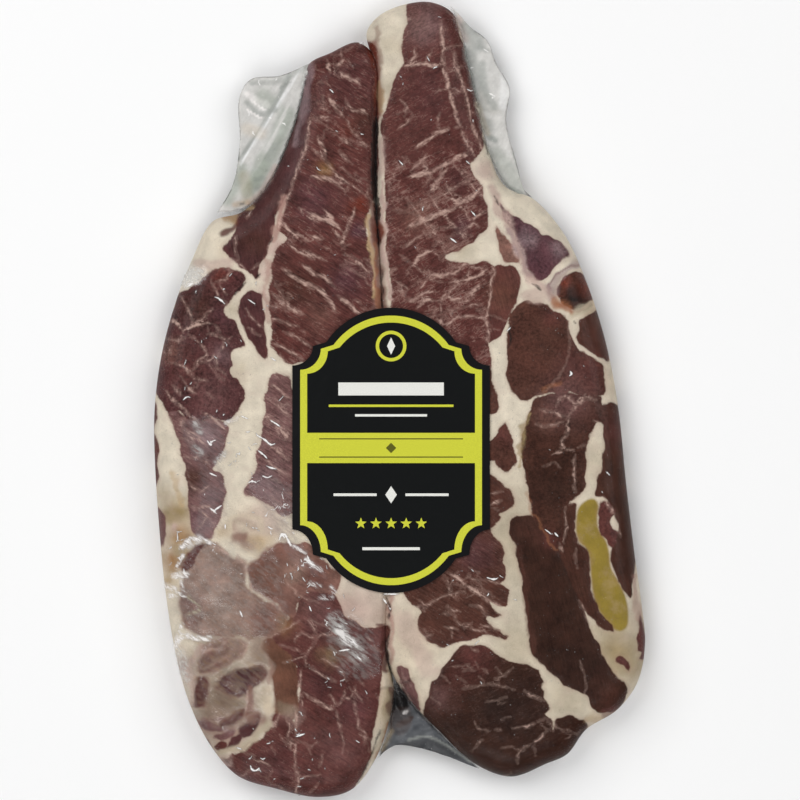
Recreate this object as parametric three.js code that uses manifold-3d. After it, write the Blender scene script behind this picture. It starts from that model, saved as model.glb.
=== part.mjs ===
// Vacuum pack of two raw beef steaks, lying flat on its back.
// Millimetres, +Z up. The shown face looks up and the steaks run along Y.
// The origin is under the middle of the pack, on the surface it lies on.

import * as THREE from 'three';
import { mergeVertices } from 'three/addons/utils/BufferGeometryUtils.js';
import Module from 'manifold-3d';

// Driving dimensions
const PACK_LENGTH = 334.6;
const PACK_WIDTH = 207;
const THICKNESS = 22.5;
const EDGE_HEIGHT = 9.5;
const SHOULDER_RADIUS = 11;
const SEAM_RADIUS = 4.5;
const SEAM_X = -6;
const SEAM_BLEND = 16;
const UNDERSIDE_INSET = 0.55;
const FILM_THICKNESS = 1;
const LABEL_THICKNESS = 0.5;
const LABEL_GAP = 0.35;
const SECTORS = 132;
const WEB_SECTORS = 44;
const INNER_RINGS = 4;
const SHOULDER_STEPS = 4;

// Outlines of the two steaks, from the top end and round by the left
const LEFT_STEAK = [
  [-17, 150.6], [-29, 146.2], [-38.5, 141], [-41, 128], [-46, 111], [-55, 91.5], [-66, 79.5],
  [-78.5, 75.4], [-87.5, 58.8], [-95, 39], [-100.6, 17], [-103.2, -5], [-103, -26],
  [-101, -56], [-98.6, -80], [-94.8, -104], [-89, -126], [-80, -144.6], [-68, -158.2],
  [-52, -163.6], [-34, -167.2], [-20, -164.2], [-10, -152], [-4.5, -138], [-1.6, -123],
  [-4, -108], [-4, -80], [-4, -40], [-5, 0], [-7, 50], [-8.8, 88], [-8, 118], [-8.5, 142],
];
const RIGHT_STEAK = [
  [5, 167.2], [-8, 162.2], [-14, 154.5], [-11, 140], [-10.4, 118], [-10.8, 95], [-9.4, 60],
  [-7.4, 20], [-6.4, -30], [-6, -80], [-7, -104], [-2.4, -117], [6, -128.5], [17, -139.8],
  [31, -152.8], [47, -158.6], [62, -153.2], [71, -149], [79, -138.6], [92, -130.4],
  [100.6, -118.6], [103.8, -103], [102.4, -86], [99.6, -66], [96, -36], [92.4, -2],
  [87, 25.5], [79.6, 48.6], [70, 69.6], [57, 84.6], [44.5, 90.5], [37.4, 107], [33.4, 124],
  [28.6, 145], [23.6, 162], [15, 167.2],
];

// Middle lines that the rings of each steak close in on
const LEFT_SPINE = [[-24, 132], [-31, 96], [-52, 46], [-55, 0], [-52, -60], [-47, -128]];
const RIGHT_SPINE = [[8, 148], [12, 100], [36, 46], [44, 0], [48, -60], [50, -112]];

// Webs of flat film that bridge the corners
const TOP_LEFT_WEB = [
  [-34, 137], [-38.5, 141], [-50, 136.2], [-62, 134.8], [-67, 127.5], [-66.9, 108], [-70, 90],
  [-77, 76], [-62, 74], [-49, 92], [-40, 116],
];
const TOP_RIGHT_WEB = [
  [18, 161], [22, 165], [30, 156.6], [37, 151], [41, 141], [46.4, 131], [45, 117],
  [49, 101], [53.5, 86.5], [46, 80], [36, 96], [29, 122], [23, 146],
];
const BOTTOM_WEB = [
  [-6, -112], [-1, -112], [16, -132], [42, -154], [33, -154.6], [20, -149.6], [8, -146],
  [-1, -145], [-6, -147.6], [-16, -156], [-12, -140],
];

// Broad swells and hollows of the meat under the film: x, y, radius, height
const SWELLS = [
  [58, 20, 24, 0.9], [66, -88, 26, 0.8], [36, -128, 30, 0.7], [-85, 10, 22, 0.7],
  [-33, -128, 26, 0.9], [-26, 60, 20, 0.5], [16, 120, 20, 0.5], [-61, -10, 13, -0.7],
  [49, -70, 10, -0.6], [-84, -95, 16, -1.4], [12, -108, 12, -0.6],
];

// Label outline: half widths and heights of its corners, and its two end arcs
const LABEL_CENTRE_X = -3.3;
const LABEL_TOP_Y = 38.5;
const LABEL_BOTTOM_Y = -80.5;
const LABEL_HALF_WIDTH = 41.2;
const LABEL_CORNER_TOP_Y = 14.4;
const LABEL_CORNER_BOTTOM_Y = -54;
const LABEL_NOTCH = 8.6;
const LABEL_SHOULDER = 1.6;
const LABEL_ARC_HALF_CHORD = 27;
const LABEL_ARC_RISE = 14.4;
const LABEL_COLUMNS = 12;

// Height of the pack's upper face over the table at a point
function crown(x, y) {
  const taper = 3.6 * THREE.MathUtils.smoothstep(y, 50, 175);
  const lower = 1.0 * THREE.MathUtils.smoothstep(-y, 110, 175);
  let height = THICKNESS - taper - lower - 1.4 * (x / 100) ** 2;
  for (const [sx, sy, radius, rise] of SWELLS) {
    const away = ((x - sx) ** 2 + (y - sy) ** 2) / (radius * radius);
    height += rise * Math.exp(-away);
  }
  return height;
}

// Evenly spaced points on a closed smooth curve through the given ones
function smoothLoop(points, count) {
  const corners = points.map(([x, y]) => new THREE.Vector3(x, y, 0));
  const curve = new THREE.CatmullRomCurve3(corners, true, 'centripetal');
  curve.arcLengthDivisions = 800;
  const loop = curve.getSpacedPoints(count).slice(0, count);
  return loop.map((p) => new THREE.Vector2(p.x, p.y));
}

// Nearest point of a polyline to a point
function nearestOn(polyline, point) {
  let best = null;
  for (let i = 0; i + 1 < polyline.length; i += 1) {
    const a = new THREE.Vector2(...polyline[i]);
    const along = new THREE.Vector2(...polyline[i + 1]).sub(a);
    const t = THREE.MathUtils.clamp(point.clone().sub(a).dot(along) / along.lengthSq(), 0, 1);
    const foot = a.addScaledVector(along, t);
    if (best === null || foot.distanceTo(point) < best.distanceTo(point)) {
      best = foot;
    }
  }
  return best;
}

// Closed body from rings of equal length, the first below and the last on top
function ringBody(rings) {
  const count = rings[0].length;
  const positions = [];
  for (const ring of rings) {
    for (const p of ring) {
      positions.push(p.x, p.y, p.z);
    }
  }
  const faces = [];
  for (let k = 0; k + 1 < rings.length; k += 1) {
    for (let i = 0; i < count; i += 1) {
      const a = k * count + i;
      const b = k * count + ((i + 1) % count);
      faces.push(a, b, b + count, a, b + count, a + count);
    }
  }
  const flat = (ring) => ring.map((p) => new THREE.Vector2(p.x, p.y));
  for (const [a, b, c] of THREE.ShapeUtils.triangulateShape(flat(rings[0]), [])) {
    faces.push(a, c, b);
  }
  const last = (rings.length - 1) * count;
  for (const [a, b, c] of THREE.ShapeUtils.triangulateShape(flat(rings[rings.length - 1]), [])) {
    faces.push(last + a, last + b, last + c);
  }
  const geometry = new THREE.BufferGeometry();
  geometry.setAttribute('position', new THREE.Float32BufferAttribute(positions, 3));
  geometry.setIndex(faces);
  return geometry;
}

// Radius of the rounded edge: full on the outside, tight where the steaks press together
function edgeRadius(point, reach) {
  const inner = point.y > -120 && point.y < 150;
  const away = inner ? Math.abs(point.x - SEAM_X) : SEAM_BLEND;
  const open = THREE.MathUtils.smoothstep(away, 3, SEAM_BLEND);
  const radius = THREE.MathUtils.lerp(SEAM_RADIUS, SHOULDER_RADIUS, open);
  return Math.min(radius, 0.8 * reach);
}

// One steak in its film: flat below, round at the sides and gently crowned on top
function steakBody(outline, spine) {
  const loop = smoothLoop(outline, SECTORS);
  const feet = loop.map((point) => nearestOn(spine, point));
  const reach = loop.map((point, i) => point.distanceTo(feet[i]));
  const radius = loop.map((point, i) => edgeRadius(point, reach[i]));
  const ring = (insetOf, heightOf) => loop.map((point, i) => {
    const inset = insetOf(radius[i], reach[i]);
    const p = point.clone().lerp(feet[i], inset / reach[i]);
    return new THREE.Vector3(p.x, p.y, heightOf(crown(p.x, p.y)));
  });
  const rings = [
    ring((r) => UNDERSIDE_INSET * r, () => 0),
    ring((r) => 0.2 * r, () => 0.26 * EDGE_HEIGHT),
    ring((r) => 0.03 * r, () => 0.66 * EDGE_HEIGHT),
    ring(() => 0, () => EDGE_HEIGHT),
  ];
  for (let k = 1; k <= SHOULDER_STEPS; k += 1) {
    const angle = (Math.PI / 2) * (k / SHOULDER_STEPS);
    const inset = (r) => r * (1 - Math.cos(angle));
    const height = (top) => EDGE_HEIGHT + (top - EDGE_HEIGHT) * Math.sin(angle);
    rings.push(ring(inset, height));
  }
  for (let k = 1; k <= INNER_RINGS; k += 1) {
    const share = 0.92 * (k / INNER_RINGS);
    rings.push(ring((r, l) => r + (l - r) * share, (top) => top));
  }
  return ringBody(rings);
}

// Flat film between the steaks and the pack's outer edge, at the height of their edges
function webBody(outline) {
  const shape = new THREE.Shape(smoothLoop(outline, WEB_SECTORS));
  const geometry = new THREE.ExtrudeGeometry(shape, { depth: FILM_THICKNESS, bevelEnabled: false });
  return geometry.translate(0, 0, EDGE_HEIGHT - FILM_THICKNESS / 2);
}

// Half width of the label at each height, from its lower end to its upper end
function labelRows() {
  const rows = [];
  const arcRadius = (LABEL_ARC_HALF_CHORD ** 2 + LABEL_ARC_RISE ** 2) / (2 * LABEL_ARC_RISE);
  const half = (cornerY, endY) => {
    const sign = Math.sign(endY - cornerY);
    const side = [];
    for (const share of [0.12, 0.35, 0.6, 0.82, 0.95]) {
      const angle = Math.asin(LABEL_ARC_HALF_CHORD / arcRadius) * share;
      const drop = arcRadius * (1 - Math.cos(angle));
      side.push([endY - sign * drop, arcRadius * Math.sin(angle)]);
    }
    side.push([endY - sign * LABEL_ARC_RISE, LABEL_ARC_HALF_CHORD]);
    const notchY = endY - sign * (LABEL_ARC_RISE + LABEL_SHOULDER);
    for (let k = 0; k <= 5; k += 1) {
      const angle = (Math.PI / 2) * (k / 5);
      const y = THREE.MathUtils.lerp(notchY, cornerY, Math.sin(angle));
      side.push([y, LABEL_HALF_WIDTH - LABEL_NOTCH * Math.cos(angle)]);
    }
    return side;
  };
  const below = half(LABEL_CORNER_BOTTOM_Y, LABEL_BOTTOM_Y);
  const above = half(LABEL_CORNER_TOP_Y, LABEL_TOP_Y).reverse();
  rows.push(...below);
  for (let k = 1; k < 9; k += 1) {
    const y = THREE.MathUtils.lerp(LABEL_CORNER_BOTTOM_Y, LABEL_CORNER_TOP_Y, k / 9);
    rows.push([y, LABEL_HALF_WIDTH]);
  }
  rows.push(...above);
  return rows;
}

// Thin printed label that follows the upper face and bridges the groove between the steaks
function labelBody() {
  const rows = labelRows();
  const width = LABEL_COLUMNS + 1;
  const positions = [];
  for (const lift of [LABEL_GAP, LABEL_GAP + LABEL_THICKNESS]) {
    for (const [y, half] of rows) {
      for (let k = 0; k < width; k += 1) {
        const x = LABEL_CENTRE_X + half * ((2 * k) / LABEL_COLUMNS - 1);
        positions.push(x, y, crown(x, y) + lift);
      }
    }
  }
  const faces = [];
  const quad = (a, b, c, d) => faces.push(a, b, c, a, c, d);
  const top = rows.length * width;
  for (let j = 0; j + 1 < rows.length; j += 1) {
    for (let k = 0; k < LABEL_COLUMNS; k += 1) {
      const a = j * width + k;
      quad(a, a + width, a + width + 1, a + 1);
      quad(top + a, top + a + 1, top + a + width + 1, top + a + width);
    }
    const left = j * width;
    const right = left + LABEL_COLUMNS;
    quad(left, top + left, top + left + width, left + width);
    quad(right, right + width, top + right + width, top + right);
  }
  const end = (rows.length - 1) * width;
  for (let k = 0; k < LABEL_COLUMNS; k += 1) {
    quad(k, k + 1, top + k + 1, top + k);
    quad(end + k, top + end + k, top + end + k + 1, end + k + 1);
  }
  const geometry = new THREE.BufferGeometry();
  geometry.setAttribute('position', new THREE.Float32BufferAttribute(positions, 3));
  geometry.setIndex(faces);
  return geometry;
}

// Solids to join, and the joined mesh
const wasm = await Module();
wasm.setup();

function toSolid(geometry) {
  const bare = geometry.clone();
  bare.deleteAttribute('normal');
  bare.deleteAttribute('uv');
  const merged = mergeVertices(bare, 1e-4);
  const mesh = new wasm.Mesh({
    numProp: 3,
    vertProperties: Float32Array.from(merged.attributes.position.array),
    triVerts: Uint32Array.from(merged.index.array),
  });
  return new wasm.Manifold(mesh);
}

function toGeometry(solid) {
  const mesh = solid.getMesh();
  const geometry = new THREE.BufferGeometry();
  geometry.setAttribute('position', new THREE.Float32BufferAttribute(mesh.vertProperties, 3));
  geometry.setIndex(Array.from(mesh.triVerts));
  return geometry;
}

// The clear pouch, shrunk tight on its contents
let pouch = toSolid(steakBody(LEFT_STEAK, LEFT_SPINE));
pouch = pouch.add(toSolid(steakBody(RIGHT_STEAK, RIGHT_SPINE)));
for (const web of [TOP_LEFT_WEB, TOP_RIGHT_WEB, BOTTOM_WEB]) {
  pouch = pouch.add(toSolid(webBody(web)));
}
const pouchGeometry = toGeometry(pouch);
const labelGeometry = labelBody();

// Both pieces are moved so that the box of the pouch is centred over the origin
pouchGeometry.computeBoundingBox();
const box = pouchGeometry.boundingBox;
const middle = box.getCenter(new THREE.Vector3());
const size = box.getSize(new THREE.Vector3());
const stretchX = PACK_WIDTH / size.x;
const stretchY = PACK_LENGTH / size.y;
for (const geometry of [pouchGeometry, labelGeometry]) {
  geometry.translate(-middle.x, -middle.y, 0);
  geometry.scale(stretchX, stretchY, 1);
}

const filmMaterial = new THREE.MeshStandardMaterial({
  color: 0x6a4340,
  roughness: 0.3,
  metalness: 0,
});
const labelMaterial = new THREE.MeshStandardMaterial({
  color: 0x17191a,
  roughness: 0.5,
  metalness: 0,
});

function namedMesh(name, geometry, material) {
  geometry.computeVertexNormals();
  const mesh = new THREE.Mesh(geometry, material);
  mesh.name = name;
  return mesh;
}

const group = new THREE.Group();
group.add(namedMesh('vacuum_pouch', pouchGeometry, filmMaterial));
group.add(namedMesh('label', labelGeometry, labelMaterial));

export default group;
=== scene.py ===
import math

import bpy
import numpy as np
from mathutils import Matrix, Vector
from mathutils.geometry import delaunay_2d_cdt


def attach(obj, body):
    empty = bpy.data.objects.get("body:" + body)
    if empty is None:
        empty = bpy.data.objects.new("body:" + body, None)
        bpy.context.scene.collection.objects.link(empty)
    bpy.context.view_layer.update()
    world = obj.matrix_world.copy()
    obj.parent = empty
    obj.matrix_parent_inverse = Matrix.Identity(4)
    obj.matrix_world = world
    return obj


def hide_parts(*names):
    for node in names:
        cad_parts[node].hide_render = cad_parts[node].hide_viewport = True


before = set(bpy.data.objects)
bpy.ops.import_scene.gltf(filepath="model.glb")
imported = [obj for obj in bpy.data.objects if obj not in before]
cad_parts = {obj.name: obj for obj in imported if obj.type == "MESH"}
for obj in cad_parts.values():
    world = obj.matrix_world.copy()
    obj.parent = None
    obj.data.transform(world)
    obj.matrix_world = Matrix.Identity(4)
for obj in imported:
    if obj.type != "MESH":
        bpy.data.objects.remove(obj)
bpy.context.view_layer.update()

# Vacuum pack of two raw beef steaks, seen from straight above.
# Shapes are worked out in millimetres in the frame's own axes and turned into metres in each mesh.

MM = 0.001

# Form of the pack, as in the frame
THICKNESS = 22.5
EDGE_HEIGHT = 9.5
SHOULDER_RADIUS = 11.0
SEAM_RADIUS = 4.5
SEAM_X = -6.0
SEAM_BLEND = 16.0
SEAM_ENDS = (-120, 150)
FILM_SEAM_ENDS = (-118, 150)
WEB_RADIUS = 0.7
MEAT_INSET = 0.5
# Share of its radius that the edge keeps on the underside
BACK_SHARE = 0.55
# Fall of the upper face: how far, and between which distances from the middle
NECK_FALL, NECK_RUN = 3.6, (50, 175)
FOOT_FALL, FOOT_RUN = 1.0, (110, 175)
SIDE_FALL, SIDE_RUN = 1.4, 100
# Swells and hollows of the upper face: place, radius and height
SWELLS = (
    (58, 20, 24, 0.9), (66, -88, 26, 0.8), (36, -128, 30, 0.7), (-85, 10, 22, 0.7),
    (-33, -128, 26, 0.9), (-26, 60, 20, 0.5), (16, 120, 20, 0.5), (-61, -10, 13, -0.7),
    (49, -70, 10, -0.6), (-84, -95, 16, -1.4), (12, -108, 12, -0.6),
)

# Colours of the meat, the fat and the film
DEEP = (54, 33, 26)
DARK = (66, 40, 32)
UMBER = (78, 48, 40)
WINE = (78, 46, 46)
MAROON = (96, 60, 55)
RUSSET = (88, 50, 46)
ROSE = (108, 76, 74)
CLAY = (124, 88, 78)
DUSKY = (142, 116, 104)
BLOOD = (112, 50, 36)
AMBER = (152, 98, 68)
CREAM = (214, 203, 184)
IVORY = (200, 184, 162)
BONE = (178, 165, 143)
BLUSH = (186, 160, 150)
PINK = (162, 124, 114)
TAN = (176, 148, 110)
STRAW = (148, 128, 92)
OCHRE = (150, 112, 70)
LILAC = (146, 122, 124)
PLUM = (86, 55, 60)
HAZEL = (117, 96, 80)
SEPIA = (102, 68, 54)
OLIVE = (140, 120, 52)
MILK = (238, 233, 230)
SILVER = (208, 206, 202)
MIST = (186, 184, 178)
PEWTER = (150, 153, 148)
STEEL = (96, 100, 106)
MOSS = (136, 146, 132)
SLATE = (62, 64, 68)
NIGHT = (24, 22, 22)
WHITE = (240, 240, 240)
GLARE = (250, 248, 246)
VEIN_PINK = (212, 180, 166)
MEAT_RIM = (104, 58, 50)
FAT_RIM = (150, 110, 98)

# Colours of the label
LABEL_BLACK = (16, 16, 18)
LABEL_INNER = (13, 15, 16)
LABEL_GREEN = (203, 205, 62)
LABEL_OLIVE = (92, 92, 30)
LABEL_WHITE = (228, 228, 222)
LABEL_BACK = (200, 200, 196)
LABEL_EDGE = (60, 60, 58)

# Mesh spacing of the meat, the film and the label, on the shown face and on the back
MEAT_STEPS = ((0.7, 1.5))
FILM_STEPS = ((0.95, 2.0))
LABEL_STEP = 1.6
# Spacing along the outlines of the pack and the slices, the muscles and the lines on them
EDGE_STEP = 1.0
OUTLINE_STEP = 1.2
GUIDE_STEP = 1.5
LINE_STEP = 0.8
# How far from a line, a muscle or the rim of the pack its effect is looked for
LINE_REACH = 3.0
MUSCLE_REACH = 8.0
RIM_REACH = 20.0
WEB_REACH = 12.0
GLINT_REACH = 2.5
# Relief of the meat: rise of the muscles and the sunken seams between them
MUSCLE_RISE, MUSCLE_RUN = 0.12, (0.5, 4)
SEAM_DIP, SEAM_WIDTH = 0.32, 1.1
# Back of the meat and of the film, and the film's gap over the meat and at the webs
MEAT_FLOOR, FILM_FLOOR = 0.45, 0.08
FILM_GAP, WEB_GAP = 0.05, 0.5
# Edge of the film beside the seam, at the ends of the seam, and where its foot is pinched
FILM_SEAM_RADIUS, FILM_END_RADIUS = 2.8, 6.0
PINCH_HALF_WIDTH, PINCH_TOP = 16, -130
# Film that spans the seam: its height and how it falls off, and how much slack a web takes up
BRIDGE, BRIDGE_RUN = 0.8, (0.5, 6.0)
SLACK_SHARE, SLACK_MOST = 0.7, 4.5
LOOSE_RUN = (0.1, 0.7)
# Milky film over the lower left: its right side, its top and its foot, and how softly it ends
BLUR_RIGHT, BLUR_TOP, BLUR_FOOT = -42, -54, (-146, -132)
BLUR_SOFTNESS = (-3, 8)

# Stretches of outline, in order round the pack from its upper end by the left
LEFT_TOP = [(-17, 150.6), (-29, 146.2), (-38.5, 141)]
LEFT_NECK = [(-41, 128), (-46, 111), (-55, 91.5), (-66, 79.5)]
LEFT_SIDE = [
    (-78.5, 75.4), (-87.5, 58.8), (-95, 39), (-100.6, 17), (-103.2, -5), (-103, -26),
    (-101, -56), (-98.6, -80), (-94.8, -104), (-89, -126), (-80, -144.6), (-68, -158.2),
    (-52, -163.6), (-34, -167.2), (-20, -164.2),
]
LEFT_SEAM = [
    (-10, -152), (-4.5, -138), (-1.6, -123), (-3.4, -108), (-3, -80), (-3.4, -40), (-4.4, 0),
    (-5.6, 50), (-8.6, 84), (-8.4, 118), (-8.5, 142),
]
RIGHT_SEAM = [
    (-11, 140), (-10.4, 118), (-10.8, 95), (-9.8, 60), (-8.4, 20), (-7.6, -30), (-7.4, -80),
    (-7.4, -104), (-2.4, -117), (6, -128.5), (17, -139.8), (31, -152.8),
]
RIGHT_SIDE = [
    (47, -158.6), (62, -153.2), (71, -149), (79, -138.6), (92, -130.4), (100.6, -118.6),
    (103.8, -103), (102.4, -86), (99.6, -66), (96, -36), (92.4, -2), (87, 25.5),
    (79.6, 48.6), (70, 69.6), (57, 84.6),
]
RIGHT_NECK = [(44.5, 90.5), (37.4, 107), (33.4, 124), (28.6, 145), (23.6, 162)]
RIGHT_TOP = [(15, 167.2), (5, 167.2), (-8, 162.2), (-14, 154.5)]
WEB_LEFT = [(-50, 136.2), (-62, 134.8), (-67, 127.5), (-66.9, 108), (-70, 90)]
WEB_BELOW = [(-10, -152), (-6, -147.6), (-1, -145), (8, -146), (20, -149.6), (33, -154.6)]
WEB_RIGHT = [
    (53.5, 86.5), (49, 101), (45, 117), (46.4, 131), (41, 141), (37, 151), (30, 156.6), (22, 165),
]
LEFT_STEAK = LEFT_TOP + LEFT_NECK + LEFT_SIDE + LEFT_SEAM
RIGHT_STEAK = RIGHT_SEAM + RIGHT_SIDE + RIGHT_NECK + RIGHT_TOP
STEAKS = (LEFT_STEAK, RIGHT_STEAK)
PACK_EDGE = LEFT_TOP + WEB_LEFT + LEFT_SIDE + WEB_BELOW + RIGHT_SIDE + WEB_RIGHT + RIGHT_TOP


def linear(red, green, blue):
    """Linear colour of an sRGB one given as 0 to 255."""
    values = np.array([red, green, blue]) / 255
    return np.where(values <= 0.04045, values / 12.92, ((values + 0.055) / 1.055) ** 2.4)


def smoothstep(value, low, high):
    t = np.clip((value - low) / (high - low), 0, 1)
    return t * t * (3 - 2 * t)


def spline(points, step, closed):
    """Points about step apart on a smooth curve through the given ones."""
    knots = np.array(points, float)
    if not closed:
        knots = np.vstack([2 * knots[0] - knots[1], knots, 2 * knots[-1] - knots[-2]])
    count = len(points) if closed else len(points) - 1
    first = 0 if closed else 1
    total = len(knots)
    parts = []
    for i in range(first, first + count):
        p0, p1, p2, p3 = (knots[(i + k) % total] for k in (-1, 0, 1, 2))
        spans = ((p0, p1), (p1, p2), (p2, p3))
        d0, d1, d2 = (max(math.hypot(*(b - a)) ** 0.5, 1e-4) for a, b in spans)
        m1 = ((p1 - p0) / d0 - (p2 - p0) / (d0 + d1) + (p2 - p1) / d1) * d1
        m2 = ((p2 - p1) / d1 - (p3 - p1) / (d1 + d2) + (p3 - p2) / d2) * d1
        t = np.arange(max(1, round(math.hypot(*(p2 - p1)) / step)))[:, None]
        t = t / len(t)
        parts.append((2 * t**3 - 3 * t**2 + 1) * p1 + (t**3 - 2 * t**2 + t) * m1
                     + (3 * t**2 - 2 * t**3) * p2 + (t**3 - t**2) * m2)
    if not closed:
        parts.append(knots[-2:-1])
    return np.vstack(parts)


def nearest(xy, line, closed, reach):
    """Distance of each point to a line, up to reach, the nearest place and how far along it is."""
    order = np.argsort(xy[:, 1])
    points = xy[order]
    best = np.full(len(xy), reach**2)
    place = points.copy()
    where = np.zeros(len(xy))
    ends = np.roll(line, -1, axis=0) if closed else line[1:]
    for k, (a, b) in enumerate(zip(line, ends)):
        along = b - a
        size = along @ along
        if size < 1e-12:
            continue
        band = (min(a[1], b[1]) - reach, max(a[1], b[1]) + reach)
        part = slice(*np.searchsorted(points[:, 1], band))
        t = np.clip(((points[part] - a) @ along) / size, 0, 1)
        foot = a + t[:, None] * along
        gap = ((points[part] - foot) ** 2).sum(axis=1)
        closer = gap < best[part]
        best[part][closer] = gap[closer]
        place[part][closer] = foot[closer]
        where[part][closer] = k + t[closer]
    back = np.empty_like(order)
    back[order] = np.arange(len(order))
    return np.sqrt(best)[back], place[back], where[back]


def inside(xy, loop):
    """True for the points inside a closed loop."""
    order = np.argsort(xy[:, 1])
    points = xy[order]
    odd = np.zeros(len(xy), bool)
    for a, b in zip(loop, np.roll(loop, -1, axis=0)):
        if a[1] == b[1]:
            continue
        part = slice(*np.searchsorted(points[:, 1], (min(a[1], b[1]), max(a[1], b[1]))))
        crossing = a[0] + (points[part, 1] - a[1]) / (b[1] - a[1]) * (b[0] - a[0])
        odd[part] ^= points[part, 0] < crossing
    result = np.zeros(len(xy), bool)
    result[order] = odd
    return result


def near(xy, line, reach):
    """True for the points in the box round a line, widened by reach."""
    return ((xy > line.min(axis=0) - reach) & (xy < line.max(axis=0) + reach)).all(axis=1)


def depth_in(xy, loop, reach):
    """Distance into a closed loop, negative outside and held to reach."""
    depth = np.full(len(xy), -reach)
    close = near(xy, loop, reach)
    if close.any():
        gap = nearest(xy[close], loop, True, reach)[0]
        depth[close] = np.where(inside(xy[close], loop), gap, -gap)
    return depth


def crown(xy):
    """Height of the pack's upper face."""
    x, y = xy[:, 0], xy[:, 1]
    height = THICKNESS - NECK_FALL * smoothstep(y, *NECK_RUN) - FOOT_FALL * smoothstep(-y, *FOOT_RUN)
    height = height - SIDE_FALL * (x / SIDE_RUN) ** 2
    for sx, sy, radius, rise in SWELLS:
        height = height + rise * np.exp(-((x - sx) ** 2 + (y - sy) ** 2) / radius**2)
    return height


def waves(xy, seed, size, count=14):
    """Smooth irregular field between about -1 and 1, with features of the given size."""
    rng = np.random.default_rng(seed)
    total = np.zeros(len(xy))
    for _ in range(count):
        angle, phase = rng.uniform(0, 2 * math.pi, 2)
        length = size * rng.uniform(0.6, 1.8)
        along = xy[:, 0] * math.cos(angle) + xy[:, 1] * math.sin(angle)
        total += np.sin(2 * math.pi * along / length + phase)
    return total / math.sqrt(count / 2) / 1.6


def wander(xy, seed, size, reach):
    """Points moved a little along smooth random waves."""
    return xy + reach * np.column_stack([waves(xy, seed, size), waves(xy, seed + 1, size)])


def edge_radius(points):
    """Radius of a steak's rounded edge, tight where the two press together."""
    low, high = SEAM_ENDS
    inner = (points[:, 1] > low) & (points[:, 1] < high)
    away = np.where(inner, abs(points[:, 0] - SEAM_X), SEAM_BLEND)
    return SEAM_RADIUS + (SHOULDER_RADIUS - SEAM_RADIUS) * smoothstep(away, 3, SEAM_BLEND)


def loop_normals(loop):
    """Inward normals of a loop that runs anticlockwise."""
    along = np.roll(loop, -1, axis=0) - np.roll(loop, 1, axis=0)
    along /= np.linalg.norm(along, axis=1)[:, None]
    return np.stack([-along[:, 1], along[:, 0]], axis=1)


def hex_points(loop, step):
    """Points on a triangular grid that lie well inside a loop."""
    low, high = loop.min(axis=0), loop.max(axis=0)
    rows = np.arange(low[1], high[1], step * 0.866)
    columns = np.arange(low[0], high[0], step)
    x, y = np.meshgrid(columns, rows)
    x = x + (np.arange(len(rows)) % 2)[:, None] * step / 2
    grid = np.stack([x.ravel(), y.ravel()], axis=1)
    grid = grid[inside(grid, loop)]
    return grid[nearest(grid, loop, True, step)[0] > 0.55 * step]


def triangulated(flat, edges, tolerance, complaint):
    """Triangles of a flat sheet of points that keep to the given edges."""
    made = delaunay_2d_cdt([Vector(p) for p in flat.tolist()], edges, [], 1, tolerance)
    if len(made[0]) != len(flat):
        raise RuntimeError(complaint)
    return np.array(made[2])


def shell(loop, radii, steps, top, bottom):
    """Closed mesh between an upper and a lower sheet that meet round the loop.

    Each sheet is laid out flat with its rounded edge unrolled, so that its triangles are even.
    radii are those of the edge at each point of the loop, and top and bottom give the heights.
    Returns points in millimetres, triangles, and True for the points of the shown face.
    """
    extra = math.pi / 2 - 1
    normals = loop_normals(loop)
    flat_loop = loop - normals * (extra * radii)[:, None]
    count = len(loop)
    ring = [(i, (i + 1) % count) for i in range(count)]
    points = [np.column_stack([loop, np.full(count, EDGE_HEIGHT)])]
    faces = []
    shown = [np.ones(count, bool)]
    total = count
    for sheet, (step, heights, share) in enumerate(zip(steps, (top, bottom), (1.0, BACK_SHARE))):
        grid = hex_points(flat_loop, step)
        flat = np.vstack([flat_loop, grid])
        triangles = triangulated(flat, ring, 1e-6, "two points of a sheet fell together")
        triangles = np.where(triangles >= count, triangles + total - count, triangles)
        faces.append(triangles if sheet == 0 else triangles[:, ::-1])

        gap, place, where = nearest(grid, loop, True, 1.1 * radii.max())
        index = np.floor(where).astype(int) % count
        after = (index + 1) % count
        mix = (where - np.floor(where))[:, None]
        radius = radii[index] * (1 - mix[:, 0]) + radii[after] * mix[:, 0]
        sign = np.where(inside(grid, loop), 1.0, -1.0)
        inward = (grid - place) * (sign / np.maximum(gap, 1e-6))[:, None]
        beside = gap < 0.05
        inward[beside] = (normals[index] * (1 - mix) + normals[after] * mix)[beside]
        run = sign * gap + extra * radius
        length = extra * radius + share * radius
        turn = np.clip(run / length, 0, 1) * math.pi / 2
        inset = share * radius * (1 - np.cos(turn))
        moved = np.where((run < length)[:, None], place + inward * inset[:, None], grid)
        points.append(np.column_stack([moved, heights(moved, np.sin(turn))]))
        shown.append(np.full(len(grid), sheet == 0))
        total += len(grid)
    return np.vstack(points), np.vstack(faces), np.concatenate(shown)


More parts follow.
